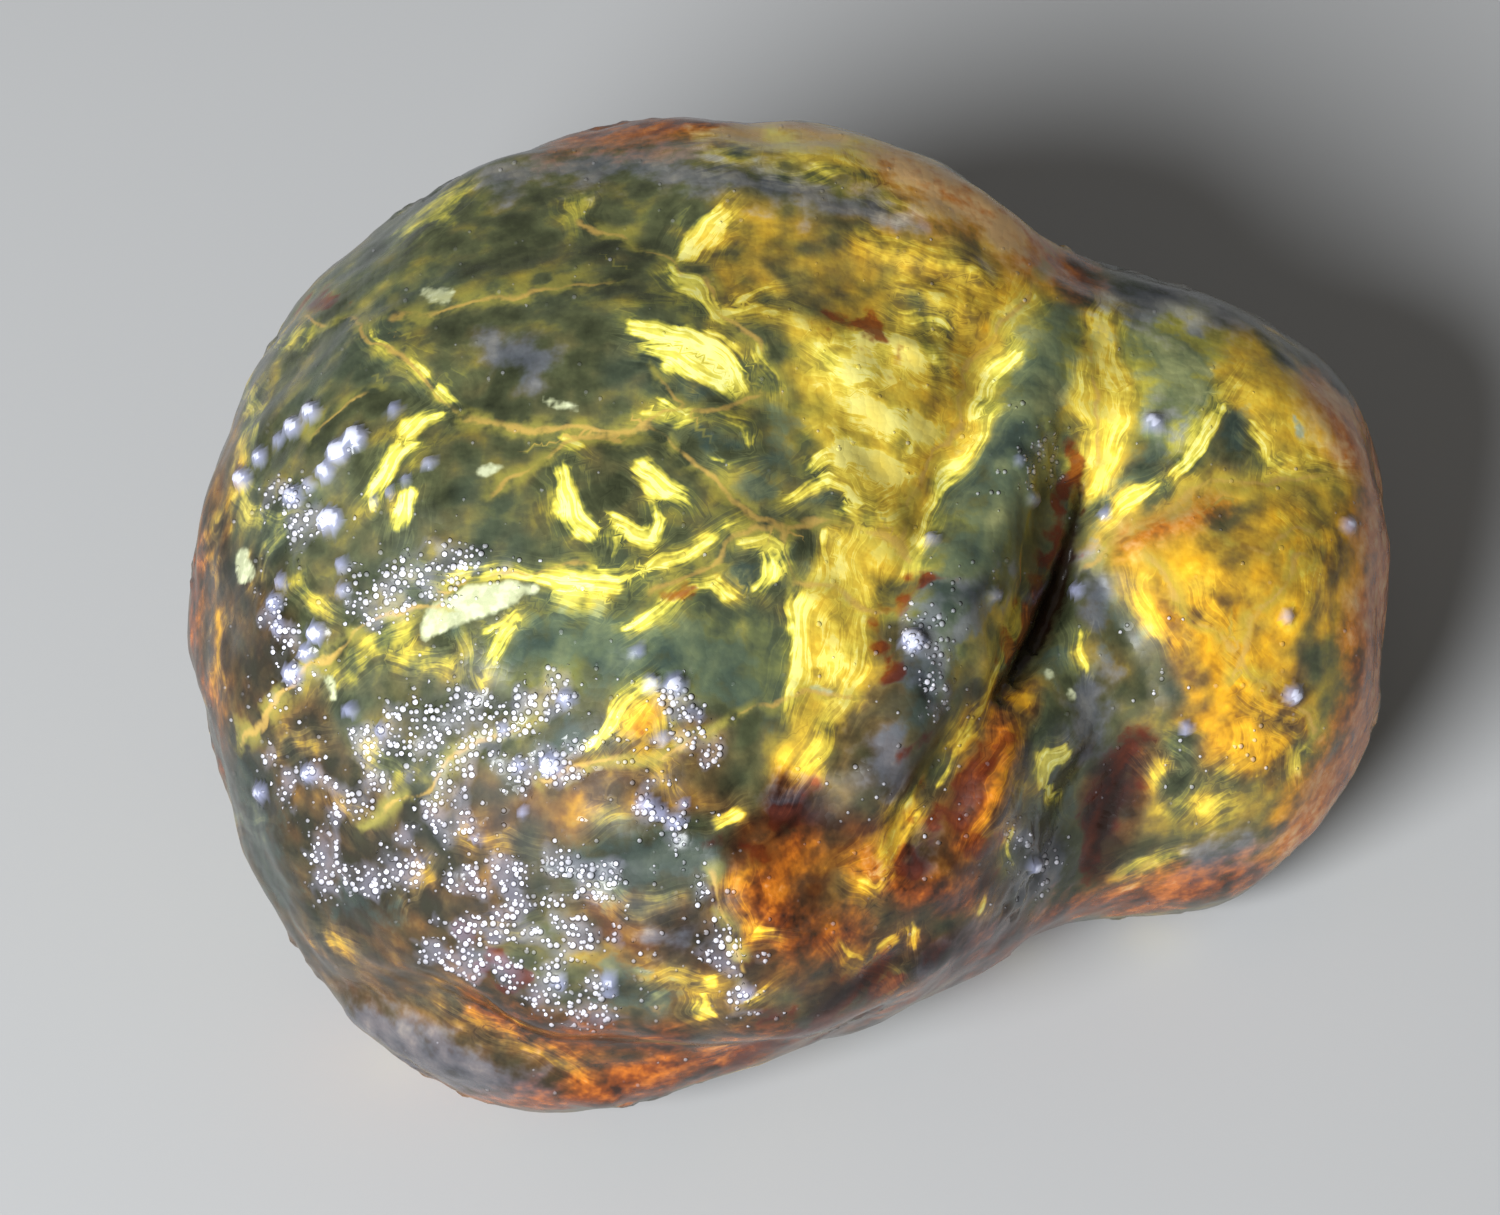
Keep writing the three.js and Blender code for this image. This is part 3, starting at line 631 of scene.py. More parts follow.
# %% Gold sheets
GOLD = [
    [(1.2, 12.2, 0.4), (2, 11.6, 0.8), (3.2, 11.3, 0.7), (4, 10.9, 0.3)],
    [(3, 9.6, 0.4), (4.6, 9.2, 0.7), (5.6, 8.6, 0.8), (6.2, 8, 0.5)],
    [(2.4, 7.4, 0.5), (3.6, 7, 0.7), (4.8, 6.4, 0.6)],
    [(2.6, 13, 0.3), (4.6, 12.7, 0.6), (6.2, 12.4, 0.6), (7.6, 11.9, 0.5)],
    [(6.2, 11.3, 0.3), (7.2, 10.8, 0.4)],
    [(3.4, 18, 0.2), (5, 17.3, 0.35), (7.2, 16.9, 0.3), (9.4, 16.4, 0.2)],
    [(5.4, 15.6, 0.2), (7, 15, 0.4), (8.2, 14.6, 0.3)],
    [(8.2, 15.6, 0.4), (9.4, 15, 0.6), (10.4, 14.6, 0.3)],
    [(4.4, 20, 0.3), (5.2, 19.6, 0.4)],
    [(-4.5, 23.4, 0.3), (-3.2, 23.6, 0.35)],
    [(-4, 22.1, 0.2), (-2.8, 22.4, 0.3)],
    [(-1, 21.3, 0.1), (0.4, 21, 0.2), (1.2, 21.2, 0.35)],
    [(3.2, 22.1, 0.2), (3.8, 21, 0.25)],
    [(3, 3.4, 0.5), (2.8, 2.2, 0.9), (2.7, 1.2, 0.8), (3.2, 0.6, 0.4)],
    [(1.9, -1.2, 0.2), (1.6, -2.4, 0.3), (1.2, -3.2, 0.2)],
    [(2.4, -4, 0.3), (1.8, -5, 0.3), (0.9, -6.6, 0.4), (0.2, -7.6, 0.35), (-0.3, -8.6, 0.2)],
    [(-11.2, 0.6, 0.3), (-10.3, 0.5, 0.6), (-9.4, 0.3, 0.4)],
    [(-22, -4, 0.15), (-21.6, -3.1, 0.3), (-20.7, -2.5, 0.35), (-19.5, -2, 0.45),
     (-18.4, -1.2, 0.45)],
    [(-18.8, -2.1, 0.3), (-17.6, -2, 0.45), (-16.4, -2.3, 0.35), (-15.9, -2.2, 0.1)],
    [(-15.4, -1.4, 0.15), (-15.1, -2.2, 0.25), (-14.9, -3.1, 0.12)],
    [(-23.4, 1.2, 0.2), (-22.8, 0.4, 0.35), (-22, -0.1, 0.25)],
    [(-24.4, 3.4, 0.2), (-25.2, 2.4, 0.25), (-25.8, 0.8, 0.15)],
    [(-28.2, 4.2, 0.5), (-28.3, 2.6, 0.45), (-28, 1.4, 0.3)],
    [(-26.6, 5.2, 0.4), (-25.4, 4.4, 0.3), (-24.4, 4.1, 0.2)],
    [(-27.6, -0.8, 0.3), (-27.8, -2.6, 0.3), (-27.9, -3.9, 0.2)],
    [(-26.9, 10.4, 0.35), (-26.2, 9.5, 0.55), (-26.4, 8.4, 0.5), (-26.6, 7.2, 0.2)],
    [(-18.8, 18.9, 0.5), (-17.8, 19.5, 0.7), (-16.6, 20.6, 0.5)],
    [(-23.9, 13.4, 0.15), (-24.5, 12.9, 0.4), (-25.2, 12.9, 0.3)],
    [(-10.7, 19.3, 0.2), (-10.5, 18.9, 0.3)],
    [(-8.2, -6.2, 0.5), (-7.3, -5.2, 0.6), (-6.8, -4.4, 0.5), (-6.3, -5.6, 0.4)],
    [(-6.8, -6.8, 0.2), (-6, -7.2, 0.35), (-5.8, -7.8, 0.2)],
    [(15.4, 14.4, 0.5), (15.2, 13.4, 0.6), (15.4, 12.4, 0.5), (15.4, 11, 0.4)],
    [(13.3, 7, 0.15), (13.9, 7.4, 0.3), (14.2, 8.4, 0.3)],
    [(21, 10.3, 0.3), (21.5, 11, 0.3)],
    [(25.2, 7.2, 0.3), (26.6, 7, 0.3)],
    [(16.6, 1.2, 0.3), (16.9, 0.2, 0.6), (17.3, -0.6, 0.5), (17.8, -1.4, 0.3)],
    [(25.2, 3.4, 0.4), (25.3, 2.2, 0.5), (25, 0.8, 0.4)],
    [(24.2, 4.2, 0.5), (24.8, 3.8, 0.5)],
    [(21.9, -6.6, 0.5), (21.9, -7.4, 0.6), (20.8, -8.2, 0.4)],
    [(19.6, 0.6, 0.5), (20.4, -0.4, 0.4)],
    [(21.6, -2.6, 0.5), (22, -3, 0.4)],
    [(22.4, -4.2, 0.5), (23.4, -5, 0.4)],
    [(23.2, -5.8, 0.4), (24.2, -6.6, 0.7), (24.4, -7.6, 0.4)],
    [(18.2, -6.8, 0.3), (18.6, -7, 0.4)],
    [(17, -7.4, 0.35), (17.6, -7.9, 0.3)],
    [(18.6, -9.4, 0.3), (19.2, -8.6, 0.3)],
    [(20.2, -9.7, 0.35), (20.6, -9.5, 0.3)],
    [(16, -13, 0.25), (17.2, -12.6, 0.3), (18.2, -12.2, 0.2)],
    [(10.4, -4.6, 0.4), (10.2, -6, 0.6), (9.8, -7.6, 0.7), (9.2, -9.4, 0.7), (8.6, -10.6, 0.5)],
    [(5.2, -9, 0.4), (4.4, -10.4, 0.6), (3.6, -11.6, 0.7)],
    [(-15.2, -10.4, 0.15), (-13.8, -10.6, 0.25), (-12.5, -10.8, 0.15)],
    [(-17.2, -12.4, 0.25), (-17.8, -13.4, 0.35)],
    [(-9.8, -12.8, 0.25), (-8.6, -13.1, 0.35), (-7.6, -13.7, 0.3), (-6.2, -13.6, 0.3)],
    [(-14.2, -14.9, 0.2), (-13.2, -14.8, 0.3)],
    [(-16.4, -18.8, 0.3), (-15.4, -19.2, 0.35), (-13.8, -19.6, 0.25)],
    [(-14.6, -20, 0.15), (-12.4, -20.9, 0.3), (-10.6, -22, 0.2)],
    [(-6.6, -17.2, 0.3), (-5.8, -16.8, 0.4), (-4.8, -17.2, 0.3)],
    [(-21.4, -16.2, 0.3), (-22.4, -16, 0.3)],
    [(-26.9, -10.2, 0.3), (-26.2, -10.4, 0.3)],
    [(-20.9, -9, 0.25), (-20.4, -9.8, 0.3)],
    [(-19.8, -6.6, 0.15), (-18.6, -7.4, 0.2)],
    [(-24, -6.2, 0.25), (-22.8, -6, 0.3)],
    [(-2.8, -12.8, 0.4), (-2.4, -14.4, 0.5)],
    [(3.4, -16.6, 0.3), (4.4, -17.4, 0.4)],
    [(-3.8, -21, 0.2), (-1.6, -20.6, 0.25)],
    [(-8.9, -9.7, 0.25), (-8.6, -9.6, 0.25)],
    [(-8.3, -8.8, 0.2)],
]
print("there are", len(GOLD), "gold sheets")

# %% [markdown]
# ## Flakes, stains and cracks
# Pale flakes look like small chalky places in the skin. Dark red stains follow old cracks, where air
# gets in and ages the resin. The thinnest of these cracks look nearly black, so they are drawn once more as
# fine lines.

# %% Pale flakes
PALE = [
    [(-17.2, -1, 0.3), (-16.6, 0.1, 0.4), (-15, 0.6, 0.45), (-12.4, 0.9, 0.2)],
    [(-16.6, -0.6, 0.5), (-15.2, -0.1, 0.7), (-13.4, 0.4, 0.4)],
    [(-21.9, -3.3, 0.25), (-21.7, -4.2, 0.15)],
    [(-26.4, 2.6, 0.3), (-26.2, 1.4, 0.3)],
    [(-15, 6.2, 0.15), (-14.3, 6.4, 0.3), (-13.8, 6.5, 0.12)],
    [(-11.7, 9.9, 0.1), (-11.1, 9.6, 0.22), (-10.4, 9.5, 0.1)],
    [(24.4, 9.3, 0.15), (24.7, 8.6, 0.3)],
    [(0.4, -3.8, 0.1), (1.4, -3.8, 0.2)],
    [(11.9, -3.3, 0.25)],
    [(13.1, -4.2, 0.25)],
    [(-17.8, 15, 0.2), (-16.8, 14.9, 0.25)],
]
print("there are", len(PALE), "pale strokes")

# %% Stains and cracks
STAIN = [
    [(-1.6, -10.8, 0.2), (-0.9, -9.9, 0.5), (0, -9.3, 0.3)],
    [(4.4, -16.4, 0.2), (3.4, -17, 0.6), (1.8, -18.8, 0.7), (-0.4, -20.4, 0.5), (-3, -22, 0.3)],
    [(9.8, -6.1, 0.2), (8.8, -7.6, 0.35), (7.8, -9.2, 0.35), (7.4, -10.4, 0.2)],
    [(5.5, -10.8, 0.15), (5.2, -11.8, 0.3), (4.8, -12.6, 0.15)],
    [(15.9, -6.6, 0.5), (15.5, -8.5, 0.8), (14.9, -10.4, 0.9), (14.3, -12.4, 0.5)],
    [(16.8, -6.4, 0.3), (17.4, -6.6, 0.2)],
    [(13.4, 7.4, 0.2), (13.2, 5, 0.4), (12.4, 2.6, 0.6), (11.6, 0.8, 0.7), (10.8, -0.8, 0.6),
     (9.9, -2.6, 0.4)],
    [(-15.8, -15.3, 0.25)],
    [(-14.4, -16.8, 0.6), (-13.4, -17.2, 0.6)],
    [(6.2, 1.6, 0.2), (4.9, 1, 0.25), (4, -0.8, 0.45), (3.8, -2.2, 0.4), (4.4, -2.8, 0.2)],
    [(8.6, -6.6, 0.2), (7.8, -8.2, 0.3), (7.4, -9.6, 0.3)],
    [(-5.9, 0.2, 0.25), (-5, 0.7, 0.45), (-4.6, 0.9, 0.25)],
    [(-7.2, -5.6, 0.5), (-6.6, -4.8, 0.4)],
    [(-1.6, -19.4, 0.3), (0.8, -19, 0.3)],
    [(5, -9.8, 0.25), (4.9, -11.6, 0.3)],
    [(8.8, -11, 0.3), (8.2, -11.2, 0.2)],
    [(1.4, 14.2, 0.2), (3.4, 13.4, 0.35), (4.6, 11.6, 0.2)],
    [(5.2, -6.4, 0.2), (5.8, -6, 0.2)],
    [(-24, 14.6, 0.4), (-22.4, 15.2, 0.3)],
    [(6.4, -16.4, 0.4), (7.6, -16.9, 0.5)],
    [(-3.8, -10.6, 0.1), (-1.8, -11.2, 0.3), (-0.2, -10, 0.3), (0.8, -8.4, 0.1)],
    [(6.2, -9, 0.15), (5.6, -11, 0.35), (5.4, -12.8, 0.25)],
    [(8.6, -11.2, 0.3), (9.4, -12.2, 0.35)],
    [(3.6, -18.4, 0.05), (4.2, -17.8, 0.12), (5.4, -17.6, 0.05)],
    [(-0.6, -20.6, 0.3), (1.4, -19.6, 0.4)],
]
CRACKS = [
    [(5.5, -9.8, 0), (5.1, -11.4, 0.2), (5.3, -13.2, 0), (5.1, -15, 0.05), (4.6, -17, 0)],
    [(4.2, -17.2, 0), (3, -17.4, 0.25), (1.6, -18.6, 0.3), (0, -19.6, 0.05)],
    [(16, -7.6, 0), (15.4, -9.2, 0.35), (14.9, -11, 0.35), (14.3, -12.4, 0.1)],
    [(0.6, -8.8, 0), (-0.6, -10.2, 0.2), (-1.6, -11, 0)],
]
print("there are", len(STAIN), "stains and", len(CRACKS), "cracks")

# %% [markdown]
# ## Windows, bloom and rims
# Windows are clear blue-green places that let the eye in. Bloom is a violet-grey haze on some of
# the skin, with painted sheen: milky highlight patches are painted into its colour on the ridge and
# the lip. Rims are thin edges with the resin's own orange and a painted glow of light shining through
# them, backed by a little real transmission.

# %% Windows
WINDOW = [
    [(13, 14.2, 0.9), (11.8, 11.6, 1.4), (11, 8.4, 1.6), (10, 5.4, 1.7), (9, 3, 1.7),
     (7.4, 0.6, 1.6)],
    [(7.4, 0.6, 1.5), (6.2, -2.4, 1.2), (5.4, -5, 0.9)],
    [(-12.2, -1.6, 1.2), (-9.4, -1.8, 1.5), (-6, -1.8, 1.4), (-3.4, -2.8, 1.2), (-1.6, -4.4, 0.6)],
    [(-26.6, -8, 1), (-26, -10.8, 0.9), (-24.8, -14, 0.8)],
    [(17.4, 13.4, 1), (19, 12, 1.6), (18.6, 10.2, 1.4), (17.6, 8.6, 1), (17, 7.2, 0.6)],
    [(21.3, 9, 0.4), (21.2, 7.8, 0.4)],
    [(13, -2.3, 0.5), (12, -3, 0.5)],
    [(-1.2, 9, 0.6), (-0.6, 8.6, 0.6)],
    [(-5.3, 10.4, 0.6), (-4.2, 10, 0.5)],
    [(-4.6, 7.6, 0.5), (-3, 7.4, 0.5)],
    [(-9.8, -11.8, 1), (-7.2, -11.6, 1.2), (-4.4, -11.6, 0.9)],
    [(-8.6, -17.6, 0.7), (-6.4, -18.4, 0.6)],
    [(15.2, -0.4, 0.7), (15.4, -1.2, 0.5)],
    [(13, -9, 0.6), (12.4, -10, 0.5), (11.2, -9.6, 0.4)],
    [(14.8, 4.9, 0.5), (14.4, 4.4, 0.4)],
    [(16.8, 6.8, 0.4), (15.6, 5.8, 0.3)],
    [(9, 7.6, 0.8), (7.4, 4.8, 0.6), (8.6, 5.6, 0.8)],
    [(0.8, 5.1, 0.4), (1.4, 5.2, 0.4)],
    [(-1, 6.8, 0.7), (-1.6, 5.8, 0.6)],
    [(-2.4, 1.6, 0.6), (-0.2, 2.6, 0.4)],
    [(0.4, 3, 0.5), (0.5, 1.6, 0.35)],
    [(-15.8, -1, 0.2)],
    [(-12, -7, 0.5), (-10.6, -6, 0.6)],
    [(-21, -14, 0.7), (-19.4, -13.8, 0.6)],
    [(-7.6, 0.6, 0.35), (-7.3, 1, 0.25)],
]
print("there are", len(WINDOW), "windows")

# %% Bloom, partly painted sheen
# Part haze, part painted sheen: the milky patches on the ridge and the lip stand in for highlights.
BLOOM_AND_PAINTED_SHEEN = [
    [(6.4, 0.2, 0.5), (5.9, -1.6, 0.9), (5.7, -3, 0.6)],
    [(4.6, -5.6, 0.7), (3.8, -7.6, 0.8)],
    [(9.6, 1.6, 0.4), (8.4, 0.4, 0.4), (7.2, -1.6, 0.4)],
    [(-14.5, 21.2, 0.8), (-8, 21.8, 0.8), (-2, 20.6, 0.7), (2.6, 19.8, 0.6), (6, 18.6, 0.4)],
    [(-21.2, -19.8, 1.2), (-18.2, -21.4, 1.5), (-14.6, -22.6, 1.2), (-12.4, -23, 0.6)],
    [(13.9, 2, 0.5), (14.3, -0.6, 0.5)],
    [(14, -3.8, 0.8), (13.9, -6.6, 0.8)],
    [(10.8, -11, 0.7), (12.4, -12.4, 0.9), (10.8, -13.8, 0.6)],
    [(-6.4, -15.2, 0.3), (-5.4, -15.4, 0.4)],
    [(5.4, -11.8, 0.4), (5.6, -10.6, 0.3)],
    [(6.4, -17.2, 0.8), (9.2, -15.6, 0.8)],
    [(15.6, 15.4, 0.7), (18.5, 15.2, 1), (21.6, 14.2, 0.7)],
    [(19.6, -13, 1), (22, -12, 0.8)],
    [(-12.4, 11.4, 0.8), (-14.6, 12.2, 0.5)],
    [(0, -8.9, 0.4), (-0.8, -9, 0.4)],
    [(18.4, 8, 0.5), (18.2, 9.2, 0.5)],
]
print("there are", len(BLOOM_AND_PAINTED_SHEEN), "patches of bloom")

# %% Rims, partly painted glow
# Their orange is partly the resin's own and partly a painted glow of light shining through thin edges.
RIMS_WITH_PAINTED_GLOW = [
    [(0.2, -10.4, 0.3), (-1.6, -12.8, 0.7), (-0.4, -15.6, 0.7), (2.6, -15, 0.4)],
    [(3.4, -12, 0.2), (5.6, -13.4, 0.4), (8, -13.6, 0.4)],
    [(9.6, -5.6, 0), (8.6, -8.6, 0.3), (7.8, -11, 0.2)],
    [(-15, -18.8, 0.2), (-11, -20.4, 0.4), (-6, -20.4, 0.4)],
    [(29.2, 9.5, 1.2), (29.4, 4, 1.3), (29, 0, 1.4), (28.4, -4, 1.2), (27.2, -8, 1.1),
     (25, -11.6, 1.2)],
    [(23, -13, 0.8), (18, -14.4, 0.9), (14, -14.8, 0.8), (12, -16.2, 0.8)],
    [(4.5, 22.2, 1), (8, 20.4, 1.5), (11.4, 18.2, 1.2), (14, 16.4, 0.8)],
    [(-12, 23.6, 0.8), (-6, 24, 1), (-3, 24.4, 0.7), (2, 24.2, 0.8)],
    [(-18, -24.2, 0.2), (-15, -24.8, 0.5), (-11, -24, 1), (-7, -22.6, 1.1),
     (-3, -21.4, 0.8)],
    [(-3, -21.2, 0.7), (1, -20.4, 0.7), (5, -19.4, 0.7), (8, -17.6, 0.7), (11, -16.4, 0.7)],
    [(-29.8, 4, 0.5), (-29.8, -3, 0.5), (-28.4, -8, 0.4)],
    [(16, 3, 0.25), (18, 4.2, 0.35), (20, 4.8, 0.2)],
    [(26, 10.8, 0.8), (27.6, 7.8, 1)],
]
print("there are", len(RIMS_WITH_PAINTED_GLOW), "glowing edges")

# %% [markdown]
# ## Veins
# Veins are fine healed cracks that run a long way and branch. A vein is as thin as a hair, so its
# strokes need no width: the material works out the width from how far away the line is.

# %% Veins
VEINS = [
    [(-10, 18.4), (-8, 17.8), (-6.2, 16.8), (-5.6, 15.9), (-4, 15), (-2.8, 13.6),
     (-1.6, 12), (-1, 10.6)],
    [(-6.8, 11.2), (-5.6, 10), (-4.8, 9.2), (-3.8, 9.3), (-2.6, 9.6)],
    [(-4.8, 9.2), (-5.8, 8.9), (-7, 8.6)],
    [(-23.5, 14.2), (-21, 13.6), (-20, 12.6), (-19, 12), (-17.6, 11), (-16.6, 10),
     (-15.6, 9.2)],
    [(-15.6, 9.2), (-13.4, 8.6), (-11, 8.2), (-8.6, 8.4), (-7, 8.2), (-5.4, 7), (-3.6, 5.6),
     (-2, 4.4)],
    [(-2, 4.4), (-0.8, 4), (1, 4.1), (3, 3.6), (4.8, 2.8)],
    [(-13.6, 5.8), (-11.6, 7), (-9.6, 7.8), (-8.4, 8)],
    [(-1.6, 4), (-3, 3), (-4, 2.2), (-5, 1.6), (-6, 1)],
    [(-0.8, 3.9), (-0.6, 3), (-0.3, 2), (-0.2, 1), (1, 0.8), (2.6, 0.3), (3.6, 0)],
    [(-18.4, 14.2), (-16, 14.4), (-14, 14.9), (-12, 15.3), (-9.4, 15.6)],
    [(-22.6, 8.6), (-20.6, 9.9)],
    [(-17, 0.2), (-19, -0.6), (-21, -1.4), (-22.4, -2.6), (-23.6, -3.8), (-25, -5),
     (-26, -6)],
    [(-12.4, -5.4), (-14, -6.2), (-15.6, -7), (-17, -8), (-18.6, -9), (-19.6, -9.8)],
    [(-11, -7.6), (-9, -7.2), (-7, -7), (-5, -6.4), (-3.6, -5.6), (-2, -4.6),
     (-1, -4.1), (2, -3.9)],
    [(14.6, 2.4), (16.4, 3.8), (18.4, 5), (20, 5.9), (22, 6.3), (25, 6.4)],
    [(12.6, 16.9), (10.5, 14.5), (8.6, 12), (7.6, 9.5), (6.4, 7), (5.2, 5), (4.6, 3)],
    [(14.4, 12), (14.7, 9.6), (14.5, 7.8)],
    [(-16, 1.2), (-13, 1.7), (-10.5, 1.9)],
    [(-4, -12.6), (-3.6, -14), (-2.8, -16)],
    [(17.4, 1.6), (18.6, 0.2), (20, -0.9), (21.8, -2.8), (23.4, -4.2), (24.6, -5.4)],
    [(25, 2.4), (23.4, 0.8), (22.2, -0.6), (21.2, -2.4)],
    [(19.6, 4.6), (21, 3.2), (22.6, 2.6), (24.6, 3.6)],
]
print("there are", len(VEINS), "veins")

# %% [markdown]
# ## The fields that the resin reads
# Noise is slow to work out at every bounce of light, so all that is wider than a face of the skin is
# worked out once per point here and kept on the mesh. The shader only adds what is finer than a face.
# The sides and back that the sheet can't see get patches of the same kinds, from noise.

# %% Wandering edges, and patches for the hidden sides
points, normals = read_points()
front = facing(normals)
push = 0.55 * np.column_stack([clouds(points, 2.6, shift, octaves=2) for shift in (11.0, 23.0)])
broad_push = np.column_stack([clouds(points, 9.0, shift, octaves=1) for shift in (5.0, 17.0)])
push += 2.2 * broad_push * (1 - front[:, None])
places = on_sheet(points) + 1.1 * push


def patches(size, share, shift):
    """Millimetres inside patches of about that size, which cover about that share of the skin."""
    cloud = clouds(points, size, shift, 2)
    return (cloud - np.quantile(cloud, 1 - share)) * size * 1.2


def both_sides(drawn, hidden):
    return np.clip(front * drawn + (1 - front) * hidden, -REACH, REACH)


print("marks are pushed aside by up to", round(float(np.abs(push).max()), 1), "mm")

# %% Lightness and warmth
drawn_lightness = np.full(len(points), 0.30)
drawn_warmth = np.full(len(points), 0.10)
loose_places = on_sheet(points) + 3.5 * push
for wash_lightness, wash_warmth, line in WASHES:
    share = ease(depth_in(loose_places, [line]), -1.2, 0.8)
    drawn_lightness += share * (wash_lightness - drawn_lightness)
    drawn_warmth += share * (wash_warmth - drawn_warmth)
hidden_lightness = 0.30 + 0.5 * clouds(points, 8.0, shift=140.0, octaves=2)
hidden_warmth = 0.35 + 1.1 * clouds(points, 13.0, shift=180.0, octaves=1)
store("lightness", front * drawn_lightness + (1 - front) * hidden_lightness)
store("warmth", np.clip(front * drawn_warmth + (1 - front) * hidden_warmth, 0, 1))
print("the washes are laid on", len(points), "points")

# %% Sheets, and the way their streaks run
SHEET_EDGE = -1.6  # millimetres; further out than this no sheet sets the way that streaks run
OPEN_FLOW = (0.94, 0.34)  # the way that they run there
lemon, lemon_across, lemon_along = lay_strokes(places, LEMON)
gold, gold_across, gold_along = lay_strokes(places, GOLD)
across = np.where(lemon + 0.2 > gold, lemon_across, gold_across)
along = np.where(lemon + 0.2 > gold, lemon_along, gold_along)
far = np.maximum(lemon, gold) < SHEET_EDGE
across = np.where(far, places[:, 1] * OPEN_FLOW[0] + places[:, 0] * OPEN_FLOW[1], across)
along = np.where(far, places[:, 0] * OPEN_FLOW[0] - places[:, 1] * OPEN_FLOW[1], along)
store("lemon", both_sides(lemon, patches(5.0, 0.06, 80.0)))
store("gold", both_sides(gold, patches(6.5, 0.18, 120.0)))
store("across", across + 0.8 * push[:, 0])
store("along", along)
on_a_sheet = np.maximum(lemon, gold)[front > 0.5] > 0
print("sheets cover", round(float(on_a_sheet.mean()) * 100), "percent of the front")

# %% Marks: name, strokes, then the size, the share and the shift of the patches on the hidden sides
MARKS = [
    ("pale", PALE, 4.0, 0.004, 200.0),
    ("stain", STAIN, 7.0, 0.08, 240.0),
    ("window", WINDOW, 8.0, 0.18, 280.0),
    ("bloom", BLOOM_AND_PAINTED_SHEEN, 9.0, 0.14, 320.0),
    ("rosin_and_painted_glow", RIMS_WITH_PAINTED_GLOW, 12.0, 0.22, 360.0),
]
for name, strokes, patch_size, patch_share, shift in MARKS:
    hidden = patches(patch_size, patch_share, shift)
    store(name, both_sides(depth_in(places, strokes), hidden))
# The slit mask paints the crevice near-black as painted shade, and draws the cracks as near-black lines.
store("slit", np.where(front > 0.5, depth_in(on_sheet(points), CREVICE + CRACKS), -REACH))
store("pebbly", pebbly)
# The pearl field gives the beads their lavender and a painted highlight on their tops.
store("pearl", np.clip(beads * 2.2, 0, 1))
store("worn", front * sprinkle)
print("stored", [name for name, *_ in MARKS])

# %% Veins and clouds
vein, vein_across = lay_strokes(places + 0.7 * push, VEINS)[:2]
hidden_vein = clouds(points, 9.0, shift=400.0, octaves=3)
store("vein_near", -both_sides(vein, -np.abs(hidden_vein) * 9.0))
store("vein_across", both_sides(vein_across, hidden_vein * 9.0))
store("murk", clouds(points, 7.5, shift=40.0, octaves=3))
store("wisp", clouds(points, 2.4, shift=60.0, octaves=3))
store("grain", clouds(points, 1.3, shift=90.0, octaves=2))
print("the fields are stored for", len(points), "points")

# %% [markdown]
# ## Helpers for the material
# A material is a chain of nodes, and each node does one small sum or one small colour step. Wiring
# them one at a time in Python takes many lines, so a few helpers add a node, join its inputs and hand
# back its output. A formula then reads like a sum on paper.

# %% Sums
resin = bpy.data.materials.new("amber_resin")
resin.use_nodes = True
tree = resin.node_tree
resin_shader = tree.nodes["Principled BSDF"]


def connect(socket, value):
    if isinstance(value, bpy.types.NodeSocket):
        tree.links.new(value, socket)
    else:
        socket.default_value = value


def calculate(operation, *values, clamp=False):
    step = tree.nodes.new("ShaderNodeMath")
    step.operation = operation
    step.use_clamp = clamp
    for socket, value in zip(step.inputs, values):
        connect(socket, value)
    return step.outputs[0]


def total(*values):
    result = values[0]
    for value in values[1:]:
        result = calculate("ADD", result, value)
    return result


def times(*values):
    result = values[0]
    for value in values[1:]:
        result = calculate("MULTIPLY", result, value)
    return result


def rest(share):
    """What is left of 1 after that share."""
    return calculate("SUBTRACT", 1.0, share)


def fade(value, low, high):
    """0 below low, 1 above high, and a soft step between."""
    step = tree.nodes.new("ShaderNodeMapRange")
    step.interpolation_type = "SMOOTHSTEP"
    connect(step.inputs["Value"], value)
    step.inputs["From Min"].default_value = low
    step.inputs["From Max"].default_value = high
    return step.outputs[0]


# %% Stored fields, noise and colours
def mark(name):
    step = tree.nodes.new("ShaderNodeAttribute")
    step.attribute_name = name
    return step.outputs["Fac"]


def add_noise(vector, dimensions, scale, detail, roughness):
    """Fine noise about zero."""
    step = tree.nodes.new("ShaderNodeTexNoise")
    step.noise_dimensions = dimensions
    connect(step.inputs["Vector"], vector)
    connect(step.inputs["Scale"], scale)
    connect(step.inputs["Detail"], detail)
    connect(step.inputs["Roughness"], roughness)
    return calculate("SUBTRACT", step.outputs["Fac"], 0.5)


def tone(code):
    """A colour code such as 3a3a22, as the linear colour that shaders use."""
    parts = [int(code[i:i + 2], 16) / 255 for i in (0, 2, 4)]
    linear = [part / 12.92 if part <= 0.04045 else ((part + 0.055) / 1.055) ** 2.4 for part in parts]
    return (*linear, 1.0)


def lay(under, over, share):
    """The colour over, laid on the colour under with that share."""
    step = tree.nodes.new("ShaderNodeMix")
    step.data_type = "RGBA"
    connect(step.inputs["Factor"], share)
    connect(step.inputs[6], under)
    connect(step.inputs[7], over)
    return step.outputs[2]


def ramp(value, *stops):
    """A colour for each value, by stops of a value and a colour code."""
    step = tree.nodes.new("ShaderNodeValToRGB")
    connect(step.inputs["Fac"], value)
    stripes = step.color_ramp.elements
    while len(stripes) < len(stops):
        stripes.new(0.5)
    for stripe, (place, code) in zip(stripes, stops):
        stripe.position = place
        stripe.color = tone(code)
    return step.outputs["Color"]


# %% [markdown]
# ## Patterns finer than a face
# Two patterns are too fine for the mesh. Speckle is an even dust of noise all through the resin.
# Streaks are noise that is drawn out along each sheet, like brush hairs, because a sheet formed where
# resin flowed. They read the stored distances along and across the sheet, so they follow its bends.

# %% Speckle and streaks
SPECKLE_SIZE = 0.8 * MM
coordinates = tree.nodes.new("ShaderNodeTexCoord").outputs["Object"]
fine = add_noise(coordinates, "3D", 1 / SPECKLE_SIZE, detail=2.5, roughness=0.6)

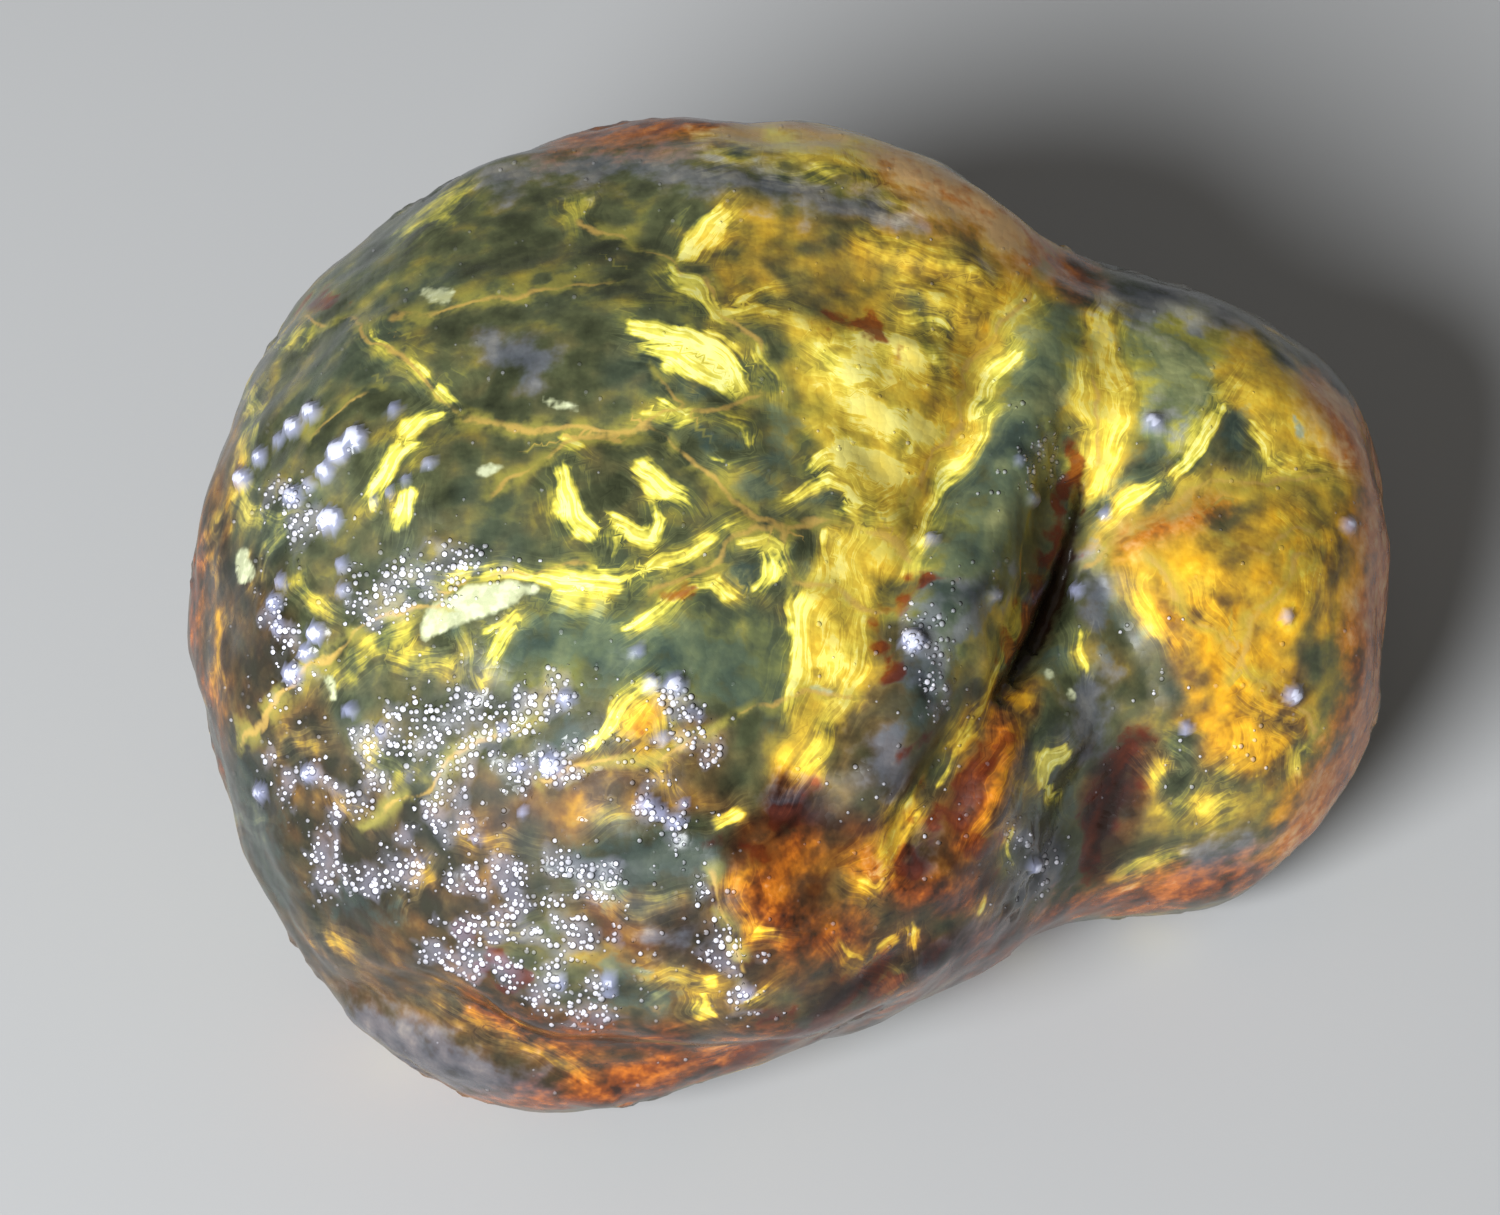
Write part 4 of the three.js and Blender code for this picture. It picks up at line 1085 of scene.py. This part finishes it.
flow = tree.nodes.new("ShaderNodeCombineXYZ")
connect(flow.inputs[0], times(mark("along"), 0.28))
connect(flow.inputs[1], times(mark("across"), 2.2))
raw_streak = add_noise(flow.outputs[0], "2D", 1, detail=2, roughness=0.55)
sheet_near = fade(calculate("MAXIMUM", mark("lemon"), mark("gold")), SHEET_EDGE, -0.1)
streak = times(raw_streak, total(0.15, times(sheet_near, 0.85)))
hair = fade(calculate("ABSOLUTE", streak), 0.045, 0.01)
print("the speckle is", round(SPECKLE_SIZE / MM, 1), "mm wide")

# %% [markdown]
# ## How light and how warm the resin is
# One number says how light each place is, from the washes, the clouds, the streaks and the sheets. It
# then picks a colour on two ramps, from dark olive to lemon and from dark brown to gold, and the
# warmth mixes the two. So light and hue can be changed one at a time.

# %% Sheets and lightness
lemon_depth = total(mark("lemon"), 0.08, times(streak, 0.8), times(fine, 0.5), times(mark("grain"), 0.6))
lemon_share = fade(lemon_depth, -0.40, 0.30)
gold_depth = total(mark("gold"), times(streak, 1.2), times(fine, 1.2), times(mark("grain"), 1.2))
gold_share = fade(gold_depth, -0.6, 0.5)
murk = mark("murk")
wisp = mark("wisp")
grain = mark("grain")
light = total(mark("lightness"), times(murk, 0.12), times(wisp, 0.30))
light = total(light, times(grain, total(0.26, times(mark("warmth"), 0.10))), times(streak, 0.34))
light = total(light, times(fine, total(0.32, times(mark("warmth"), 0.24))))
gold_light = calculate("SUBTRACT", 0.29, times(mark("warmth"), 0.18))
lemon_glow = times(fade(mark("lemon"), -1.0, 0.1), 0.10)
light = total(light, times(gold_share, gold_light), lemon_glow, -0.01)
lemon_light = total(0.68, times(fade(lemon_depth, -0.2, 0.6), 0.26), times(streak, 0.7), times(fine, 0.3))
light = calculate("MAXIMUM", light, times(lemon_share, lemon_light))
light = calculate("ADD", light, times(hair, sheet_near, 0.10), clamp=True)
print("lightness takes", len(tree.nodes), "nodes so far")

# %% Colour by lightness and warmth
olive = ramp(
    light, (0.0, "24281a"), (0.2, "3e422c"), (0.35, "54583a"), (0.5, "75763c"), (0.65, "a6a044"),
    (0.8, "d2c850"), (0.92, "f2e866"), (1.0, "fffc9c"),
)
amber = ramp(
    light, (0.0, "30150a"), (0.2, "553013"), (0.36, "7c521e"), (0.5, "a8761c"), (0.64, "cc9420"),
    (0.8, "e6ae26"), (0.92, "f2c434"), (1.0, "f8d850"),
)
warm_change = total(times(wisp, 0.5), times(grain, 0.9))
warm_change = times(warm_change, total(0.40, times(mark("warmth"), 0.45)))
warm = calculate("ADD", mark("warmth"), warm_change, clamp=True)
colour = lay(olive, amber, warm)
print("with its two ramps the material has", len(tree.nodes), "nodes")

# %% [markdown]
# ## Layers of colour
# The other marks lie on top, each with a ramp of its own. The share of each layer comes from how far
# inside its strokes a place is. Fine noise is added to that distance before it fades, so the edges
# look torn. A lemon sheet stays on top of windows, bloom and rims, because it hides what is under it.

# %% Windows, bloom with painted sheen, and rims with painted glow
window_share = fade(total(mark("window"), times(fine, 2.5), times(grain, 2.0)), -0.6, 0.7)
murky = times(fade(murk, 0.02, 0.25), rest(warm), 0.45)
window_share = times(calculate("MAXIMUM", window_share, murky), rest(lemon_share))
window_tone = ramp(light, (0.0, "202c28"), (0.35, "3e5049"), (0.7, "728468"), (1.0, "bcc490"))
colour = lay(colour, window_tone, times(window_share, 0.8))
# Bloom: a violet-grey haze with painted sheen, its ramp running up to pale grey.
bloom_and_painted_sheen_share = fade(total(mark("bloom"), times(fine, 2.5), times(grain, 2.0)), -0.7, 0.8)
bloom_and_painted_sheen_tone = ramp(light, (0.0, "30323a"), (0.35, "5a5e68"), (0.7, "8e9096"), (1.0, "c8c8c8"))
colour = lay(colour, bloom_and_painted_sheen_tone, times(bloom_and_painted_sheen_share, rest(lemon_share), 0.75))
# Rims: the resin's own orange with a painted glow, its ramp running up to pale orange.
rim_share = fade(total(mark("rosin_and_painted_glow"), times(fine, 1.6), times(wisp, 1.0)), -1.3, 1.0)
rim_share = times(rim_share, rest(lemon_share))
rim_light = total(light, times(fine, 0.7))
rim_painted_glow_tone = ramp(rim_light, (0.0, "34140a"), (0.3, "8c4212"), (0.6, "de7a20"), (1.0, "ffcc90"))
colour = lay(colour, rim_painted_glow_tone, times(rim_share, 0.9))
print("windows, bloom and rims bring it to", len(tree.nodes), "nodes")

# %% Flakes and stains
pale_share = fade(total(mark("pale"), times(fine, 0.5)), -0.12, 0.14)
colour = lay(colour, ramp(fine, (0.0, "b4b890"), (0.1, "ccd0a8")), pale_share)
stain_share = fade(total(mark("stain"), times(fine, 1.6), times(grain, 1.6)), -0.25, 0.35)
stain_tone = ramp(light, (0.0, "240c06"), (0.4, "561e0a"), (0.8, "9c4814"))
colour = lay(colour, stain_tone, times(stain_share, 0.9))
print("flakes and stains bring it to", len(tree.nodes), "nodes")

# %% Veins, and painted shade in the slit
vein_off = calculate("ABSOLUTE", total(mark("vein_across"), times(fine, 0.5)))
vein_off = calculate("DIVIDE", vein_off, total(0.9, times(wisp, 1.0)))
vein_halo = times(fade(vein_off, 0.9, 0.1), fade(mark("vein_near"), 1.6, 0.8))
halo_gaps = fade(total(grain, fine), -0.25, 0.2)
colour = lay(colour, tone("9c9440"), times(vein_halo, halo_gaps, 0.60))
vein_core = times(fade(vein_off, 0.20, 0.02), fade(mark("vein_near"), 1.0, 0.55))
vein_core = times(vein_core, fade(total(wisp, fine), -0.4, 0.2))
colour = lay(colour, tone("c09c50"), times(vein_core, 0.70))
# Painted shade: near-black over the crevice, and the same near-black for the cracks.
slit_painted_shade_share = fade(total(mark("slit"), times(fine, 0.8)), -0.2, 0.3)
colour = lay(colour, tone("180b05"), times(slit_painted_shade_share, 0.95))
print("veins and the slit bring it to", len(tree.nodes), "nodes")

# %% [markdown]
# ## Clear places
# Light goes into real amber, is bent and is coloured on its way. The shader's transmission lets it in
# at the windows and rims, its IOR bends it, and absorption in the volume turns what comes back orange.
# Elsewhere the resin is cloudy, so it stays closed, and that also keeps the render quick.

# %% Transmission, IOR and absorption
RESIN_IOR = 1.54
CLEAR_IN_WINDOWS = 0.22
CLEAR_IN_RIMS = 0.20
ABSORPTION_COLOUR = (0.85, 0.40, 0.06, 1)
ABSORPTION_DENSITY = 450
resin_shader.inputs["IOR"].default_value = RESIN_IOR
resin_shader.inputs["Specular IOR Level"].default_value = 0.3
clear = total(times(window_share, CLEAR_IN_WINDOWS), times(rim_share, CLEAR_IN_RIMS))
clear = calculate("MULTIPLY", clear, rest(lemon_share), clamp=True)
connect(resin_shader.inputs["Transmission Weight"], clear)
absorb = tree.nodes.new("ShaderNodeVolumeAbsorption")
absorb.inputs["Color"].default_value = ABSORPTION_COLOUR
absorb.inputs["Density"].default_value = ABSORPTION_DENSITY
tree.links.new(absorb.outputs[0], tree.nodes["Material Output"].inputs["Volume"])
print("the windows are up to", round(CLEAR_IN_WINDOWS * 100), "percent clear")

# %% [markdown]
# ## Bubbles of the crust
# The crust is packed with bubbles a third of a millimetre wide. Modelling them would take millions of
# faces. A cell pattern stands in for them: each cell has a dome with a size of its own, from the
# cell's chance colour, and only cells where the skin is pebbly get one. The pattern lies on the
# drawing sheet, so it is drawn out where the skin turns away. The crust fades out there.

# %% Cells on the sheet
PEBBLE_WIDTH = 0.33 * MM
sheet = tree.nodes.new("ShaderNodeMapping")
tree.links.new(coordinates, sheet.inputs["Vector"])
sheet.inputs["Rotation"].default_value = (SHEET_TILT - math.pi / 2, 0, 0)
pebbles = tree.nodes.new("ShaderNodeTexVoronoi")
pebbles.voronoi_dimensions = "2D"
tree.links.new(sheet.outputs[0], pebbles.inputs["Vector"])
pebbles.inputs["Scale"].default_value = 1 / PEBBLE_WIDTH
gap = times(pebbles.outputs["Distance"], pebbles.outputs["Distance"])
split = tree.nodes.new("ShaderNodeSeparateColor")
tree.links.new(pebbles.outputs["Color"], split.inputs[0])
chosen_by, sized_by, glint_and_gloss_chance = split.outputs[:3]
print("a bubble is about", round(PEBBLE_WIDTH / MM, 2), "mm wide")

# %% Domes
chosen = fade(calculate("SUBTRACT", mark("pebbly"), chosen_by), -0.03, 0.03)
room = total(0.07, times(sized_by, sized_by, 0.40))
room = times(room, total(0.45, times(mark("pebbly"), 0.55)))
dome = calculate("SQRT", calculate("MAXIMUM", calculate("SUBTRACT", room, gap), 0.0))
height = total(times(dome, chosen, 0.75), times(gap, -0.04))
bump = tree.nodes.new("ShaderNodeBump")
bump.inputs["Strength"].default_value = 1.0
bump.inputs["Distance"].default_value = PEBBLE_WIDTH
connect(bump.inputs["Height"], height)
tree.links.new(bump.outputs[0], resin_shader.inputs["Normal"])
print("the bubbles bring it to", len(tree.nodes), "nodes")

# %% Colour of the crust and beads, with painted highlights on their tops
crust_share = calculate("SUBTRACT", mark("pebbly"), 0.3, clamp=True)
crust_share = times(crust_share, fade(wisp, -0.4, 0.1), 0.40)
colour = lay(colour, tone("9a98aa"), crust_share)
colour = lay(colour, tone("9ca0c0"), times(mark("pearl"), 0.7))
# Painted highlight: a near-white spot on the top of each bead.
colour = lay(colour, tone("e0e2f4"), times(fade(mark("pearl"), 0.85, 1.0), 0.7))
# Painted glints: a near-white spot on the top of each chosen bubble, brighter in some cells by chance.
painted_bead_highlight = fade(calculate("SUBTRACT", times(room, 0.45), gap), -0.04, 0.04)
painted_glint_strength = total(0.08, times(mark("pebbly"), 0.36), times(glint_and_gloss_chance, glint_and_gloss_chance, 0.56))
colour = lay(colour, tone("eceaf4"), times(painted_bead_highlight, chosen, painted_glint_strength))
connect(resin_shader.inputs["Base Color"], colour)
print("the crust's colours bring it to", len(tree.nodes), "nodes")

# %% [markdown]
# ## Gloss
# The skin is worn smooth, so it is glossy nearly everywhere. Between the bubbles the crust is rubbed
# dull, which, with the glints painted on their tops, is why its bubbles stand out.

# %% Gloss
dull = calculate("SUBTRACT", 0.42, times(chosen, 0.42, glint_and_gloss_chance))
roughness = total(0.24, times(wisp, 0.12), times(mark("worn"), dull))
connect(resin_shader.inputs["Roughness"], roughness)
print("the whole material has", len(tree.nodes), "nodes")

# %% [markdown]
# ## Handing the skin over
# The finished skin rides on the lump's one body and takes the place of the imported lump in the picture.
# Its slot names the material of the part.

# %% Material, body, node and slot
skin.data.materials.clear()
skin.data.materials.append(resin)
take(skin)
bpy.ops.object.shade_smooth()
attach(skin, "root")
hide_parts("amber")
bpy.context.view_layer.update()
print("the skin is handed over with", len(skin.data.polygons), "faces")
